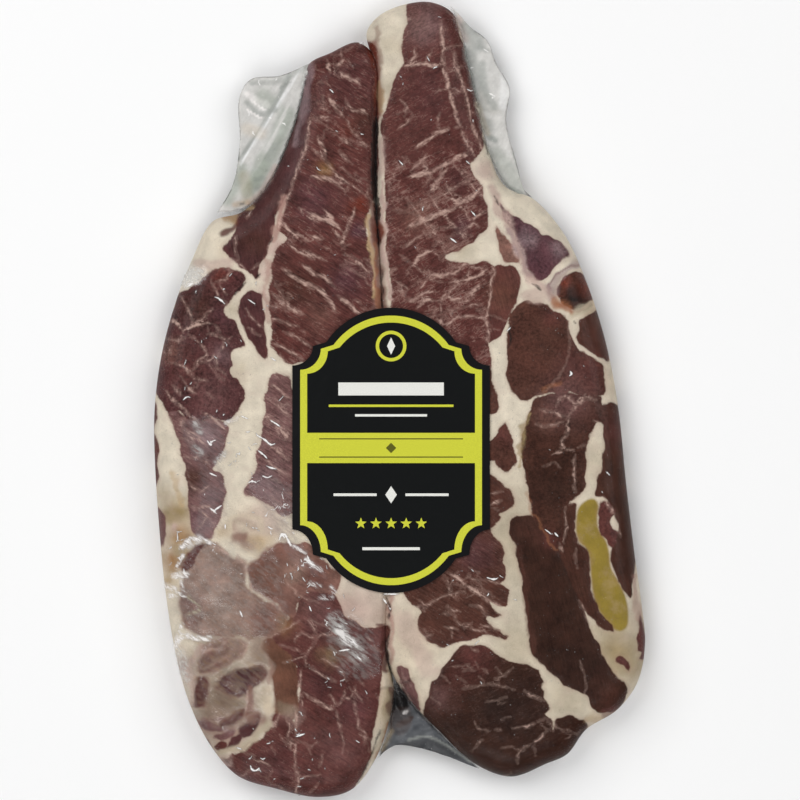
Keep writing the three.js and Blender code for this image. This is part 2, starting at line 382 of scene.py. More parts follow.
def make_piece(name, points, faces, material, attributes=()):
    """Piece in metres, with smooth faces and named values at its points."""
    mesh = bpy.data.meshes.new(name)
    mesh.vertices.add(len(points))
    mesh.vertices.foreach_set("co", (points * MM).astype(np.float32).ravel())
    mesh.loops.add(faces.size)
    mesh.loops.foreach_set("vertex_index", faces.astype(np.int32).ravel())
    mesh.polygons.add(len(faces))
    mesh.polygons.foreach_set("loop_start", np.arange(0, faces.size, 3, dtype=np.int32))
    mesh.update(calc_edges=True)
    mesh.polygons.foreach_set("use_smooth", np.ones(len(faces), bool))
    for label, values in attributes:
        kind, part = ("FLOAT", "value") if values.ndim == 1 else ("FLOAT_VECTOR", "vector")
        layer = mesh.attributes.new(label, kind, "POINT")
        layer.data.foreach_set(part, values.astype(np.float32).ravel())
    mesh.materials.append(material)
    piece = bpy.data.objects.new(name, mesh)
    bpy.context.scene.collection.objects.link(piece)
    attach(piece, "root")
    return piece


# Muscles of both slices on a ground of fat.
# Each row holds a colour, the run of its fibres, its marbling and its outline.
FALL, RISE, STEEP, CROSSED, LOOSE = (1, 0, 0), (0, 1, 0), (0, 0, 1), (0.4, 0.6, 0), (0, 0, 0)
FIBRE_TURNS = (-32, 28, -76)
MUSCLES = [
    # Left slice: long blade muscle up to the narrow end
    (RUSSET, FALL, 0.6, [
        (-10.4, 149.6), (-16, 150.8), (-30, 150), (-37.6, 147), (-37.6, 138), (-38.2, 124), (-39.4, 109),
        (-42, 99.5), (-44.6, 94), (-46.8, 87), (-48.2, 80), (-50, 74), (-50, 70.5), (-47, 67.5),
        (-50.6, 63.5), (-52.8, 58), (-53.6, 50), (-54.2, 42), (-53.8, 32), (-52.6, 21), (-47, 15.5),
        (-40, 16), (-25, 10), (-10, 14), (-9, 38), (-9.8, 46), (-10.4, 53), (-11.2, 60), (-12.4, 66),
        (-13.4, 71), (-13.2, 76), (-11.4, 81), (-9, 88), (-8.6, 112), (-8.4, 128), (-8.6, 140),
        (-9, 147)]),
    # Strap along the outer edge that ends in an oval
    (WINE, STEEP, 0.12, [
        (-38, 148), (-42, 140), (-45, 128), (-50, 111), (-59, 91), (-65.4, 80.4), (-67.6, 74.4),
        (-69.4, 68.5), (-72, 66), (-73.2, 63.5), (-71.5, 61), (-69, 58), (-66, 55.5), (-62, 52.5),
        (-59.5, 51), (-58, 54), (-56, 60), (-54.6, 65), (-52.6, 69), (-51.6, 74), (-48.8, 82), (-45, 88),
        (-42.4, 94.4), (-40, 100), (-37.4, 109), (-36, 124), (-35.4, 138)]),
    # Outer muscle group of the left slice
    (WINE, LOOSE, 0.3, [
        (-95, 38), (-91.5, 45.4), (-87, 47.4), (-82.6, 49.6), (-79, 54), (-72, 55.4), (-66.6, 53),
        (-63.5, 50), (-67.5, 45), (-71, 41), (-73, 37), (-71, 34), (-67.5, 32), (-66, 28), (-65, 22.5),
        (-68.5, 21), (-70, 18), (-69, 14.5), (-70, 12), (-67, 8), (-64.5, 3.5), (-64.5, 0), (-67, -4),
        (-70.5, -9), (-76, -8), (-82, -9), (-88, -8), (-92, -5), (-96, -5), (-99, -1), (-101.5, 2),
        (-102, 12), (-99, 24)]),
    (WINE, STEEP, 0.2, [
        (-62, 46), (-58, 44.5), (-56.5, 39), (-56, 32), (-55.3, 25), (-54.6, 18.5), (-56, 17),
        (-59.5, 20.5), (-62.5, 25), (-65, 30), (-66.6, 34), (-67, 38), (-65.5, 43)]),
    # Lower outer muscle, dark red on its outer side
    (ROSE, FALL, 0.4, [
        (-96, -4), (-92, -4.5), (-86, -8), (-80, -8.5), (-74, -8.5), (-71.5, -12), (-72.5, -19),
        (-75, -25), (-78, -28), (-76, -30), (-73.5, -32), (-72.3, -37), (-72.5, -42), (-74, -47),
        (-76.5, -53), (-80, -58), (-83, -58), (-86.5, -54), (-87.5, -48), (-88.5, -38), (-89.5, -30),
        (-91, -23), (-93, -16), (-95, -9)]),
    # Red slivers at the left edge
    (RUSSET, STEEP, 0.1, [(-105, 2), (-101.6, -2), (-102, -12), (-101, -24), (-102, -36), (-106, -34)]),
    (ROSE, STEEP, 0.1, [(-103, -45), (-98.4, -47), (-97.6, -52), (-98.6, -60), (-102, -62)]),
    # Muscle between the bone's fat and the label
    (ROSE, FALL, 0.75, [
        (-52, 10.5), (-49, 11.5), (-45.5, 9), (-43.5, 4), (-30, 4), (-15, -2), (-12, -18), (-16, -32),
        (-30, -38), (-43, -47), (-48, -49), (-52, -45), (-57, -42), (-61, -41), (-64, -38.5), (-63, -34),
        (-60.5, -30), (-59.5, -24), (-57.6, -16), (-57.2, -10), (-56.2, -4), (-55.6, 3)]),
    (RUSSET, FALL, 0.3, [
        (-37, -46), (-28, -43), (-17, -38), (-11, -44), (-9.6, -56), (-11, -67), (-18, -71), (-25, -67),
        (-30, -60), (-37, -55)]),
    # Pale muscles under the milky film
    (DUSKY, LOOSE, 0.05, [
        (-87, -68), (-83, -62), (-78, -60), (-71.6, -63.4), (-65, -67.4), (-63.8, -72), (-64.4, -76.4),
        (-60, -81.4), (-53, -84.4), (-46.4, -89.4), (-46, -94), (-51, -98.6), (-60, -99.6), (-70, -99),
        (-80, -98.8), (-89, -95), (-91.4, -86), (-90.4, -76)]),
    (CLAY, LOOSE, 0.05, [
        (-63, -69), (-59, -66), (-54, -62.6), (-51.8, -66), (-49.8, -73), (-48.6, -80), (-47.6, -87.6),
        (-51.4, -84.6), (-57, -82), (-61.4, -79), (-63, -74)]),
    (CLAY, FALL, 0.1, [
        (-54.6, -62.4), (-51, -59.4), (-44, -60), (-38, -60), (-30, -68), (-24, -73.4), (-25.6, -79),
        (-29, -82), (-38, -81.6), (-42, -86), (-44, -92), (-49, -90), (-50, -82), (-51.8, -72),
        (-53.6, -66)]),
    # Large muscle at the lower end of the left slice
    (RUSSET, FALL, 0.3, [
        (-23, -88.6), (-26, -83), (-29.6, -79.5), (-37, -79), (-41.6, -83), (-44, -89), (-48, -93.5),
        (-53, -98.5), (-53, -103.5), (-48, -108), (-43.4, -111), (-42, -117), (-42, -126), (-43.4, -132),
        (-44, -140), (-44, -150), (-44.4, -158), (-45, -168), (-33, -170), (-22, -167), (-16, -158),
        (-12.4, -150), (-10.4, -138), (-8.6, -128), (-7.4, -118), (-6.4, -108), (-4.2, -94), (-9, -95),
        (-15, -94.5), (-20, -91.5)]),
    (RUSSET, FALL, 0.42, [
        (-53, -132.6), (-50, -130.4), (-46, -131), (-43.2, -134), (-42.6, -146), (-42.8, -156),
        (-43, -168), (-58, -167), (-71, -163), (-80, -153), (-77, -151), (-72, -149), (-67, -146.8),
        (-61, -143.2), (-56, -139.8), (-53.4, -135.6)]),
    # Brown column and the streaky pink field beside it
    (SEPIA, STEEP, 0.05, [
        (-55, -99), (-48, -100), (-42.2, -110), (-42, -120), (-42.2, -128), (-44, -134), (-48, -133),
        (-51.4, -130), (-52.4, -124), (-52.6, -116), (-53.6, -110), (-55.8, -105)]),
    (DUSKY, RISE, 0.15, [
        (-82, -103), (-77, -99.6), (-70, -99), (-64, -101.6), (-65.4, -107), (-69, -109.6), (-73, -111.4),
        (-78, -113.6), (-82.4, -114.6), (-84.6, -112), (-83.5, -107)]),
    (RUSSET, STEEP, 0.1, [
        (-85, -115), (-81.4, -115.6), (-79.6, -118), (-79.6, -122), (-81.6, -127.4), (-84, -129),
        (-86, -128), (-85.6, -122)]),
    # Dark arcs above the diagonal band
    (WINE, RISE, 0.15, [
        (-76, -119.8), (-73.6, -115.8), (-69, -113.2), (-63, -111.4), (-57, -111.4), (-54.6, -113),
        (-56.4, -117), (-59.4, -119.8), (-62, -122), (-66, -123.2), (-71, -123.6), (-73, -121.6)]),
    (RUSSET, RISE, 0.1, [
        (-75, -135.4), (-71, -132.4), (-67, -129.4), (-64.6, -129), (-65, -132), (-67.6, -134.6),
        (-71, -136.6), (-74, -137)]),
    (ROSE, RISE, 0.1, [
        (-83.6, -134.6), (-80, -133.8), (-77.6, -135.2), (-73, -136), (-70, -136), (-73, -138.2),
        (-78, -138.6), (-82, -137.6)]),
    (ROSE, RISE, 0.1, [
        (-78.8, -141), (-74, -139.2), (-69.4, -137.6), (-69.4, -140), (-73, -141.8), (-77, -142.2)]),
    (RUSSET, RISE, 0.1, [(-77.6, -145), (-76, -143.2), (-73, -142.8), (-72.2, -144.6), (-75, -147.4)]),
    (WINE, RISE, 0.1, [
        (-72.4, -145.8), (-70, -143), (-69.4, -140.8), (-66.6, -139), (-66, -141.4), (-68, -144.4)]),
    (WINE, RISE, 0.1, [
        (-67.4, -137.4), (-63, -134), (-60.4, -130.6), (-58, -131), (-58, -134.6), (-59.6, -138.6),
        (-62, -140.8), (-65, -141.6), (-67.2, -140)]),
    (WINE, RISE, 0.1, [(-82.6, -141), (-79.6, -143), (-77.4, -146.4), (-75.4, -149.4), (-80, -149)]),
    # Right slice: large fan of marbled meat
    (RUSSET, CROSSED, 0.42, [
        (4, 167), (12, 168), (21, 167), (24.5, 159), (27.6, 147), (30.4, 135), (33, 122), (35.4, 112),
        (34, 104), (30, 99), (18, 101), (4, 97), (-6, 100), (-6.8, 108), (-8, 116), (-6.6, 119),
        (-4.8, 124), (-3, 132), (0, 138), (1.6, 141), (1, 148), (2.6, 156)]),
    (RUSSET, CROSSED, 0.75, [
        (32.4, 104), (30, 99), (31.6, 94), (34, 90), (35, 87), (36.6, 82), (37.4, 76), (36.6, 71),
        (33, 67.6), (28.4, 65), (24, 62.4), (19.6, 59.6), (23, 58), (29, 57), (36, 57.6), (39.4, 56),
        (39, 50), (38.2, 44), (37.4, 38), (37.2, 30), (37.6, 22), (38, 12), (30, 8), (0, 8), (-3, 30),
        (-3.4, 42), (-3.4, 48), (-4.6, 56), (-5.4, 66), (-5.8, 80), (-6, 95), (-5.6, 102), (6, 104),
        (20, 106)]),
    (CLAY, LOOSE, 0.1, [
        (40.7, 72), (43.5, 69), (47, 65.3), (49.6, 61), (50, 57.4), (46, 56.8), (43.2, 59.4),
        (41.6, 65)]),
    (PLUM, LOOSE, 0.12, [
        (40.6, 83.4), (43, 80.4), (47, 77.6), (52, 75), (58, 71.4), (61, 69), (66, 67.2), (70, 63.4),
        (71.6, 60), (68, 58.6), (65, 56), (63, 52), (59, 49.8), (56, 51), (53.4, 56), (50.6, 62),
        (48.6, 67.4), (44, 76.6)]),
    (UMBER, LOOSE, 0.05, [
        (66, 46), (67.5, 50.5), (71, 52.5), (76, 53.5), (80, 49), (82, 43), (77, 38.6), (72, 37.6),
        (68, 40)]),
    # Eye, with the meat below it up to the right edge
    (UMBER, LOOSE, 0.06, [
        (45, 22), (44.6, 14), (45.4, 7), (47.6, 3), (50.4, 0.4), (54, -0.2), (58, 1.2), (64, 3), (72, 3),
        (80, 1), (85.6, 2), (86.2, 10), (85.4, 15), (80.4, 17.8), (76, 20.8), (73.4, 24), (72, 29),
        (70.6, 33.4), (66, 37), (60, 40.4), (54, 41), (49.4, 39.4), (46.4, 35.4), (45.4, 30)]),
    (RUSSET, STEEP, 0.15, [
        (40, 56.4), (45, 56.6), (49.4, 54), (50.4, 48), (49.6, 42), (46, 36), (44, 30), (41.4, 26),
        (37, 23.4), (35.6, 30), (36, 38), (37.2, 44), (38.2, 50)]),
    (DARK, LOOSE, 0.08, [
        (56, -0.8), (60, 2), (66, 3), (74, 3.4), (80, 2.6), (85, 1), (85.4, -2), (88, -1.4), (91.5, -3),
        (93, -9), (90, -14), (85.6, -12), (83, -10), (80, -15), (78.4, -19), (78.2, -26), (77.8, -33),
        (76.8, -38), (74, -40.4), (71, -42), (69.4, -46), (69, -55), (68.2, -61), (65.2, -61.4),
        (60.2, -55.2), (57, -50), (54.8, -44.4), (54, -38), (52.4, -31), (51.4, -24), (51.2, -17),
        (52.4, -11), (54, -6)]),
    (DARK, STEEP, 0.1, [
        (68, -45), (73, -43.5), (73.6, -48), (73.6, -54), (75, -59.4), (78, -62.6), (79.2, -67),
        (79.8, -74), (81, -80.6), (84, -88), (88.5, -94), (89.5, -96.6), (86, -96), (82.6, -93.4),
        (80.4, -91.6), (77.2, -87), (73.6, -81), (70.2, -74), (68.2, -68), (67, -62.6), (67, -56)]),
    (DEEP, STEEP, 0.05, [
        (46, -50), (48.6, -48.3), (53, -48), (57.4, -49.4), (61.8, -54.2), (65.6, -60.6), (69, -67.4),
        (72, -75), (75.2, -82.4), (77.4, -88.4), (79.4, -93.4), (81, -98.4), (84.6, -105), (88, -111.4),
        (93, -117.4), (95.6, -120.4), (94.6, -126), (90.6, -130.6), (86, -131), (81, -128), (78, -123.6),
        (70, -120), (65, -115.6), (60, -111), (56.4, -107), (54.8, -102), (53.8, -94), (52.6, -85),
        (51, -75), (49.8, -67), (48, -60), (46.4, -55.4)]),
    # Strips along the right edge
    (DARK, STEEP, 0.1, [
        (84.6, -6), (88, -1.3), (91.5, -2), (93.5, -10), (95.3, -25), (96.8, -40), (98.2, -55), (99, -68),
        (98, -77), (97, -83), (94, -79.4), (91.2, -75), (89, -71), (88.4, -64), (89.6, -58), (91.6, -53),
        (90, -48), (87.6, -43.6), (84.4, -40.6), (82.2, -39.8), (82.2, -36), (83.8, -30), (85.4, -24),
        (85.2, -15)]),
    (RUSSET, LOOSE, 0.05, [
        (83.4, -44.4), (85, -42.4), (88.4, -42.6), (91, -45.4), (89.4, -47.8), (88.6, -50.4), (89, -53.4),
        (91.6, -55.4), (91.4, -60), (88.6, -61.8), (86.6, -58.4), (84, -54.6), (83, -49.4)]),
    (UMBER, STEEP, 0.1, [
        (74.6, 32), (79, 35.6), (83.4, 38.4), (86, 29), (88.4, 19), (87.6, 15.6), (84, 17.6), (80, 19.8),
        (76, 22.4), (74, 26.4)]),
    # Muscles that lie under the label or come out from under it at its right
    (RUSSET, CROSSED, 0.5, [
        (0, 3), (12, 5), (26, 3), (32, -3), (32, -14), (28, -23), (17, -27), (6, -24), (-1, -16),
        (-2.4, -6)]),
    (UMBER, FALL, 0.3, [
        (-1, -34), (10, -31), (24, -32), (30, -38), (27, -45), (16, -50), (6, -56), (-1, -60),
        (-2.4, -48)]),
    (UMBER, LOOSE, 0.15, [(38, 13), (39, 9), (40.3, 5), (41.5, -1), (41, -5), (38, -5.5), (30, 0)]),
    (UMBER, LOOSE, 0.15, [
        (44, -9.8), (46, -13.5), (47.8, -20), (48.3, -25), (47, -29), (44, -30), (41.5, -28), (39.5, -26),
        (36, -26), (34, -20), (38, -16.5), (41, -14)]),
    (UMBER, FALL, 0.25, [
        (36, -31), (41, -33.4), (44, -36), (47, -37.4), (48.2, -41), (47.4, -45), (44, -47),
        (41.4, -47.6), (42.4, -48.6), (41, -51), (38.3, -53.5), (32, -45)]),
    # Two muscles at the lower end of the right slice
    (UMBER, FALL, 0.36, [
        (2.4, -80.5), (0, -70), (20, -55), (38, -50), (38.6, -56), (41.4, -59), (43.6, -63.6),
        (43.6, -67), (44.4, -72), (43.6, -75.4), (42, -76.6), (45.2, -78.4), (46, -82), (44.4, -85.4),
        (41, -85.4), (38, -84), (40.4, -87), (42.6, -90.4), (40, -91.4), (37, -91), (38.4, -94),
        (41.4, -96), (45, -97.8), (44.4, -99.6), (40, -98.8), (36, -98), (32, -99.4), (26, -101),
        (20, -103), (15, -102.4), (11.4, -100), (8.4, -96), (7.6, -92), (8.6, -88.6), (5, -85)]),
    (DEEP, CROSSED, 0.24, [
        (22.4, -105.4), (26, -103.4), (31, -101.8), (36, -103), (42, -107), (48, -109.4), (54, -111),
        (58, -113.4), (60.4, -117.4), (58.8, -119), (60.6, -121.6), (60.8, -124.4), (63, -129.4),
        (61, -131), (63.4, -133.4), (64.4, -137), (65.6, -133), (70, -131.8), (76, -133), (79.3, -136.3),
        (79, -140), (75, -147), (69.5, -152), (62, -155), (55, -160), (47.5, -162), (38, -160),
        (29, -154), (22, -148), (15, -140.5), (10, -133), (11, -128), (12, -123), (14.6, -117),
        (18, -112.4), (20, -110)]),
    (ROSE, STEEP, 0.3, [
        (-0.6, -111), (3.4, -112), (5.6, -116), (7, -121), (8.6, -128), (8, -131), (5, -128), (2, -123),
        (0, -117)]),
    # Lobes at the right edge and a small heart-shaped spot in the fat
    (RUSSET, STEEP, 0.1, [
        (100.8, -89), (102.6, -95), (105, -102), (105, -108), (100.6, -108.6), (101, -106),
        (99.5, -104.6), (100.6, -102), (99.6, -99.4), (101, -96.6), (100, -92.6)]),
    (RUSSET, LOOSE, 0.1, [(90.6, -109.4), (93, -106.8), (95.6, -108.6), (95.8, -113), (93.4, -111.4)]),
    # Dark strip under the film at the left
    (RUSSET, RISE, 0.1, [
        (-90.5, -71), (-90, -66), (-87, -62.6), (-83, -59.8), (-79, -59.8), (-82, -63.4), (-85, -68),
        (-88, -72)]),
]

# Pale sinews and seams of fat that cross the muscles: half width and line
VEIN_SEED, VEIN_DENSITY = 21, 0.016
VEINS = [
    # Left slice above the label
    (0.8, [(-24, 146.5), (-24.2, 142), (-26, 139)]), (1.9, [(-30.2, 143), (-28.8, 136.4)]),
    (0.6, [(-27.6, 141), (-27, 135)]), (0.9, [(-25, 137), (-22, 135), (-18, 133), (-16, 131)]),
    (1, [(-29.4, 127), (-27, 123), (-23.4, 118)]),
    (0.6, [(-22.6, 126), (-20.4, 121.6), (-16, 121), (-13.6, 119)]), (1.1, [(-22, 117), (-20.4, 114)]),
    (0.8, [(-20, 113), (-16, 108.6)]), (1, [(-25, 110), (-20, 106.6)]), (0.5, [(-34, 118.4), (-28, 118)]),
    (0.8, [(-34, 110), (-32, 106), (-30.6, 101)]),
    (0.6, [(-36.6, 104.4), (-31, 100.6), (-28, 96), (-21.6, 90.4), (-17, 88)]),
    (0.7, [(-25, 104), (-20, 98.6)]), (1.4, [(-37, 93), (-31, 92.6), (-23, 90.4)]),
    (0.5, [(-26, 90), (-22, 87.4), (-20, 90)]),
    (0.5, [(-37.4, 118), (-38.4, 109), (-41, 100), (-43.4, 94), (-45.6, 87), (-48, 81)]),
    (1.3, [(-47, 83), (-49.6, 77), (-50.2, 71)]), (0.8, [(-42, 80), (-38, 76.6), (-34, 74.4)]),
    (1.5, [(-39, 78), (-32, 75.6), (-28, 74), (-24, 70.6)]), (1.1, [(-31, 79), (-27, 74.6)]),
    (0.8, [(-18.4, 80), (-20.6, 74), (-23.6, 66.6), (-24.2, 63)]), (0.7, [(-28, 71), (-23.4, 67)]),
    (0.8, [(-49.4, 74.4), (-45, 70.4), (-40, 67.6), (-36.6, 66)]), (1.5, [(-38.4, 69), (-31.4, 67)]),
    (0.6, [(-46, 65.6), (-41, 61.6), (-35.4, 58.4)]), (0.6, [(-40, 63), (-34, 59.4), (-30.6, 58.4)]),
    (1, [(-40, 56.6), (-35, 52.6), (-31, 51), (-27, 47)]),
    (1, [(-49.4, 55), (-45, 52.4), (-41, 49.6), (-36, 47.6), (-32, 45), (-29, 41), (-26, 36.6)]),
    (0.9, [(-53.4, 44.6), (-46, 39), (-40, 35.4)]), (0.6, [(-54, 34.4), (-48, 32.4), (-41.4, 30.4)]),
    (0.5, [(-48, 28.4), (-43, 26.6), (-37, 22)]),
    (0.6, [(-22.6, 61), (-18, 58.6), (-14, 55), (-10.6, 51)]),
    (0.8, [(-25.4, 43.4), (-21, 40), (-18, 37), (-15, 36.4)]), (0.6, [(-53, 24), (-46, 20.6), (-39, 16)]),
    # Outer side of the left slice
    (0.9, [(-97, 34), (-93, 32.6), (-90.4, 29.6), (-86, 31), (-78, 32)]),
    (1.4, [(-90.6, 30.4), (-89.6, 28)]), (0.5, [(-88, 28), (-84, 24), (-80.4, 20), (-84, 16), (-86, 12)]),
    (0.5, [(-80, 27.6), (-75, 27), (-71, 24)]), (0.4, [(-96.6, 19), (-95, 22)]),
    (0.8, [(-94, 6), (-91, 2)]), (1.3, [(-89.4, 5.4), (-84.6, 3)]),
    (0.7, [(-98, 4), (-92, -2), (-87, -7), (-83, -10)]), (0.6, [(-82, -5), (-76, -9), (-72, -13)]),
    (0.6, [(-92, -8), (-88, -14), (-85, -18)]), (0.5, [(-80, 3), (-77, 1)]),
    (0.4, [(-68.4, 69), (-68, 62), (-67, 57)]), (0.6, [(-61, 79.6), (-64, 76)]),
    (0.6, [(-53, 67), (-55, 63)]), (0.5, [(-62, 50), (-64, 54), (-68, 58)]),
    (0.4, [(-55, 91), (-53, 93)]), (0.5, [(-58, 57), (-61, 55)]),
    (0.5, [(-70, 54), (-73, 50), (-77, 48.6)]), (0.4, [(-92, 44), (-88, 38), (-86, 31)]),
    (0.4, [(-78, 50), (-76, 44), (-70, 38)]), (0.4, [(-92, 24), (-90, 28)]),
    (0.4, [(-78, 38), (-82, 34), (-86, 32)]), (0.5, [(-98, 26), (-93, 25), (-88, 27)]),
    (0.4, [(-76, 20), (-80, 16), (-84, 16)]), (0.4, [(-70, 26), (-74, 22), (-76, 14), (-72, 10)]),
    (0.5, [(-96, 16), (-90, 14), (-86, 10), (-80, 8)]), (0.4, [(-86, 12), (-84, 6)]),
    (0.5, [(-92, -12), (-86, -14), (-80, -19)]), (0.5, [(-90, -24), (-84, -24), (-79, -27)]),
    (0.5, [(-87, -44), (-82, -47), (-77, -52)]), (0.4, [(-84, -54), (-81, -50), (-78, -50)]),
    (0.4, [(-64, 38), (-60, 33), (-57, 30)]), (0.3, [(-63, 30), (-58, 27)]),
    # Beside the label at its left
    (0.7, [(-53.6, 6.4), (-50, 4), (-46, 1)]), (0.6, [(-54.6, 0), (-50, -3), (-46, -7)]),
    (0.9, [(-57, -6.6), (-52, -9.6), (-48.6, -12.4), (-45.6, -17)]),
    (0.6, [(-57, -16), (-52, -20), (-47, -24)]), (0.5, [(-56, -25), (-50, -29), (-45, -33)]),
    (0.5, [(-88, -34), (-83, -38), (-79, -36)]), (0.5, [(-86, -46), (-80, -44), (-76, -48)]),
    # Below the label at its left
    (0.4, [(-43.4, -100.4), (-42, -98), (-40, -97), (-36.6, -99), (-34.6, -100.2)]),
    (0.5, [(-34.4, -99.6), (-36.4, -103), (-39, -106.6), (-39, -111)]),
    (0.4, [(-34.4, -99.6), (-33, -97.6), (-29, -98.2), (-26.6, -98)]),
    (0.35, [(-50, -102), (-45.4, -103.2), (-40, -105)]),
    (0.35, [(-39, -106.6), (-43, -108.4), (-48, -109.4)]),
    (0.4, [(-32, -108), (-28, -109.8), (-25, -112), (-21.4, -116.6)]),
    (0.5, [(-37.4, -111), (-31, -115), (-26, -117.6)]), (0.3, [(-38, -92), (-35, -96), (-34.6, -99.4)]),
    (0.3, [(-31, -92), (-29, -95), (-26.6, -97.6)]),
    (0.55, [(-41.4, -113), (-41.4, -122), (-40.6, -128)]),
    (0.6, [(-39.6, -122.6), (-35, -125.4), (-31, -127.6), (-26.6, -129)]),
    (0.4, [(-29, -123), (-26, -127), (-23.6, -124.4), (-22.6, -121)]),
    (0.4, [(-23.6, -124), (-20.6, -125), (-19, -122.4)]),
    (0.35, [(-26, -129.6), (-24.6, -136), (-23.4, -141), (-23.4, -147)]),
    (0.4, [(-19.4, -123.6), (-17.6, -131), (-17, -136), (-14.6, -139), (-14, -143)]),
    (0.7, [(-43, -130), (-43, -140)]), (1.3, [(-45, -141), (-45.6, -146)]),
    (0.5, [(-43.2, -142), (-43.4, -152), (-42.4, -158), (-43, -166)]),
    (0.3, [(-42, -158), (-37, -157), (-33, -156.4)]), (0.3, [(-37, -164), (-34, -160)]),
    (0.3, [(-32, -148), (-33, -153)]), (0.4, [(-66, -158), (-62, -154)]),
    (0.5, [(-53, -144), (-52, -148)]), (0.6, [(-50, -131), (-52.6, -137.4)]),
    (0.5, [(-46.6, -132), (-45.8, -138), (-47, -144)]),
    (0.8, [(-77.6, -60.6), (-72, -63.6), (-67, -66.6), (-64.4, -69)]),
    (0.45, [(-63.4, -75), (-61, -79), (-56, -82.6), (-48, -88)]), (0.9, [(-64.4, -67), (-63.4, -76)]),
    (0.8, [(-64, -67), (-60, -65), (-55, -62)]), (0.3, [(-52, -98), (-46, -95), (-41, -92)]),
    (0.5, [(-61.5, -101), (-65, -106), (-66.4, -112)]), (0.3, [(-68, -99), (-62.4, -103.4)]),
    # Right slice above the label
    (0.8, [(17.6, 158), (18.2, 146), (18.6, 140), (21, 130), (24, 119), (26, 113), (28, 108), (31, 102)]),
    (0.8, [(23, 146), (24.6, 137), (27.4, 130), (29, 122), (31, 114), (34, 107), (36.6, 99)]),
    (1.5, [(26, 113.6), (22.4, 113.4)]), (0.9, [(23, 113.4), (19, 113), (14, 110.4), (6.6, 104.6)]),
    (0.7, [(1, 139.4), (9, 140.4), (18, 139.4)]), (0.5, [(20, 84), (14, 92), (9, 100)]),
    (0.5, [(30, 92), (22, 88), (14, 82)]), (0.4, [(34, 96), (26, 90), (16, 86)]),
    (0.4, [(36, 84), (28, 92), (22, 100)]), (0.4, [(33, 72), (26, 80), (19, 90)]),
    (0.4, [(28, 66), (20, 76), (12, 86)]), (0.4, [(20, 64), (12, 72), (5, 82)]),
    (0.4, [(30, 68), (22, 72), (12, 70), (2, 64)]), (0.4, [(34, 40), (24, 38), (10, 34)]),
    (0.4, [(30, 54), (22, 46), (16, 40)]),
    (1, [(30, 103.4), (25, 101.4), (20, 98.6), (13, 95.4), (4, 93)]), (0.9, [(11.4, 101.6), (5, 96)]),
    (0.9, [(20, 97), (17, 93), (12.6, 86)]), (0.6, [(17, 119.6), (16, 114.6)]),
    (0.5, [(1, 125.4), (3, 121.6), (2.4, 118)]), (0.4, [(-0.6, 113), (6, 118)]),
    (0.6, [(7, 147), (6.6, 143), (3.6, 140.6)]), (0.5, [(13.4, 146), (11.6, 142)]),
    (1.5, [(35, 89), (30, 84.6), (26, 83), (20.6, 84)]), (1.2, [(26, 82), (18, 78), (10, 75), (3, 71.6)]),
    (0.6, [(37, 80), (33, 77), (28, 70.6)]),
    (1, [(29, 57.6), (25.6, 55), (22.6, 52.6), (18, 51.8), (14, 52.4), (12.6, 54.6)]),
    (0.7, [(14.4, 63), (8, 59), (4.6, 54.6)]), (0.8, [(37, 55), (33, 52), (29, 50.6), (21, 49)]),
    (0.8, [(35, 48.6), (30, 44.6), (26.6, 42.6)]), (0.6, [(27, 43), (22, 42), (20, 44.6)]),
    (0.7, [(37, 34.6), (30, 34.6), (24, 34.4), (20, 31.6), (15.6, 33.4)]),
    (0.8, [(16, 41), (11, 41.6), (7, 38)]), (0.7, [(15, 45.6), (10, 44), (6.4, 41.6), (2.6, 42)]),
    (0.7, [(2.4, 43), (0, 47)]), (0.7, [(17, 40), (18, 36)]), (0.3, [(0.4, 60.4), (8, 55), (15, 50)]),
    (1, [(-5, 51), (-1.4, 54.6)]), (0.6, [(12, 50), (7.4, 46.6)]), (0.5, [(26, 96), (32, 93)]),
    (0.4, [(20, 68), (24, 65)]),
    (0.6, [(39.6, 57), (39.4, 52), (38.2, 46), (37.4, 40), (36.6, 33), (37, 24)]),
    (0.15, [(70.6, 33), (71.4, 24), (69, 14), (63.4, 6), (57, 1)]),
    # Right side of the right slice
    (0.6, [(74.6, -2), (71, -6), (70.2, -9), (70.2, -13.4), (68.4, -16), (67.8, -20.6), (64, -22.6)]),
    (0.5, [(66, -2.6), (67, 0), (70, 1.2), (74, -1.6), (76, 0.4), (82, 0.4)]),
    (0.5, [(59, -4), (64, -5), (69.6, -6.8)]), (0.4, [(57, -10), (63, -11), (70, -8.6)]),
    (0.4, [(68, -21), (73, -20.6)]), (0.5, [(73, -23), (73, -30), (73.6, -33), (73, -36), (74, -38.6)]),
    (0.4, [(60, -28), (65, -26.6), (67, -28)]), (0.5, [(75, -19.4), (78.4, -19.4)]),
    (1.4, [(71, -43.6), (73, -42.2)]), (0.5, [(75, -2), (78, 2)]),
    (0.36, [(73.6, -62), (73.4, -66), (74.4, -70)]), (0.29, [(75.6, -109), (78, -117), (77.4, -123)]),
    (1.2, [(67.2, -60), (68, -63)]), (0.35, [(70.4, -42.6), (69.4, -48), (69.8, -54), (68.6, -60)]),
    (0.25, [(75, -84), (77.4, -88.4), (79.6, -93)]),
    (0.8, [(82, -41), (85, -40.8), (88, -45), (90, -48.4)]), (1.5, [(89, -49), (90.6, -51.6)]),
    (0.4, [(90.6, -53), (93, -57)]), (0.5, [(84, -10), (81, -9)]),
    # Below the label at its right
    (1, [(38, -44), (43, -42)]), (0.6, [(38, -39), (43, -38)]),
    (0.79, [(20, -72), (26, -75.6), (32, -80), (38, -84), (43, -86.6)]),
    (0.43, [(7.4, -86.6), (13, -85), (17, -82), (27, -80)]),
    (0.43, [(20, -86), (24, -88.6), (26, -88.8)]), (0.43, [(29, -85.6), (33.6, -86.6), (37, -90)]),
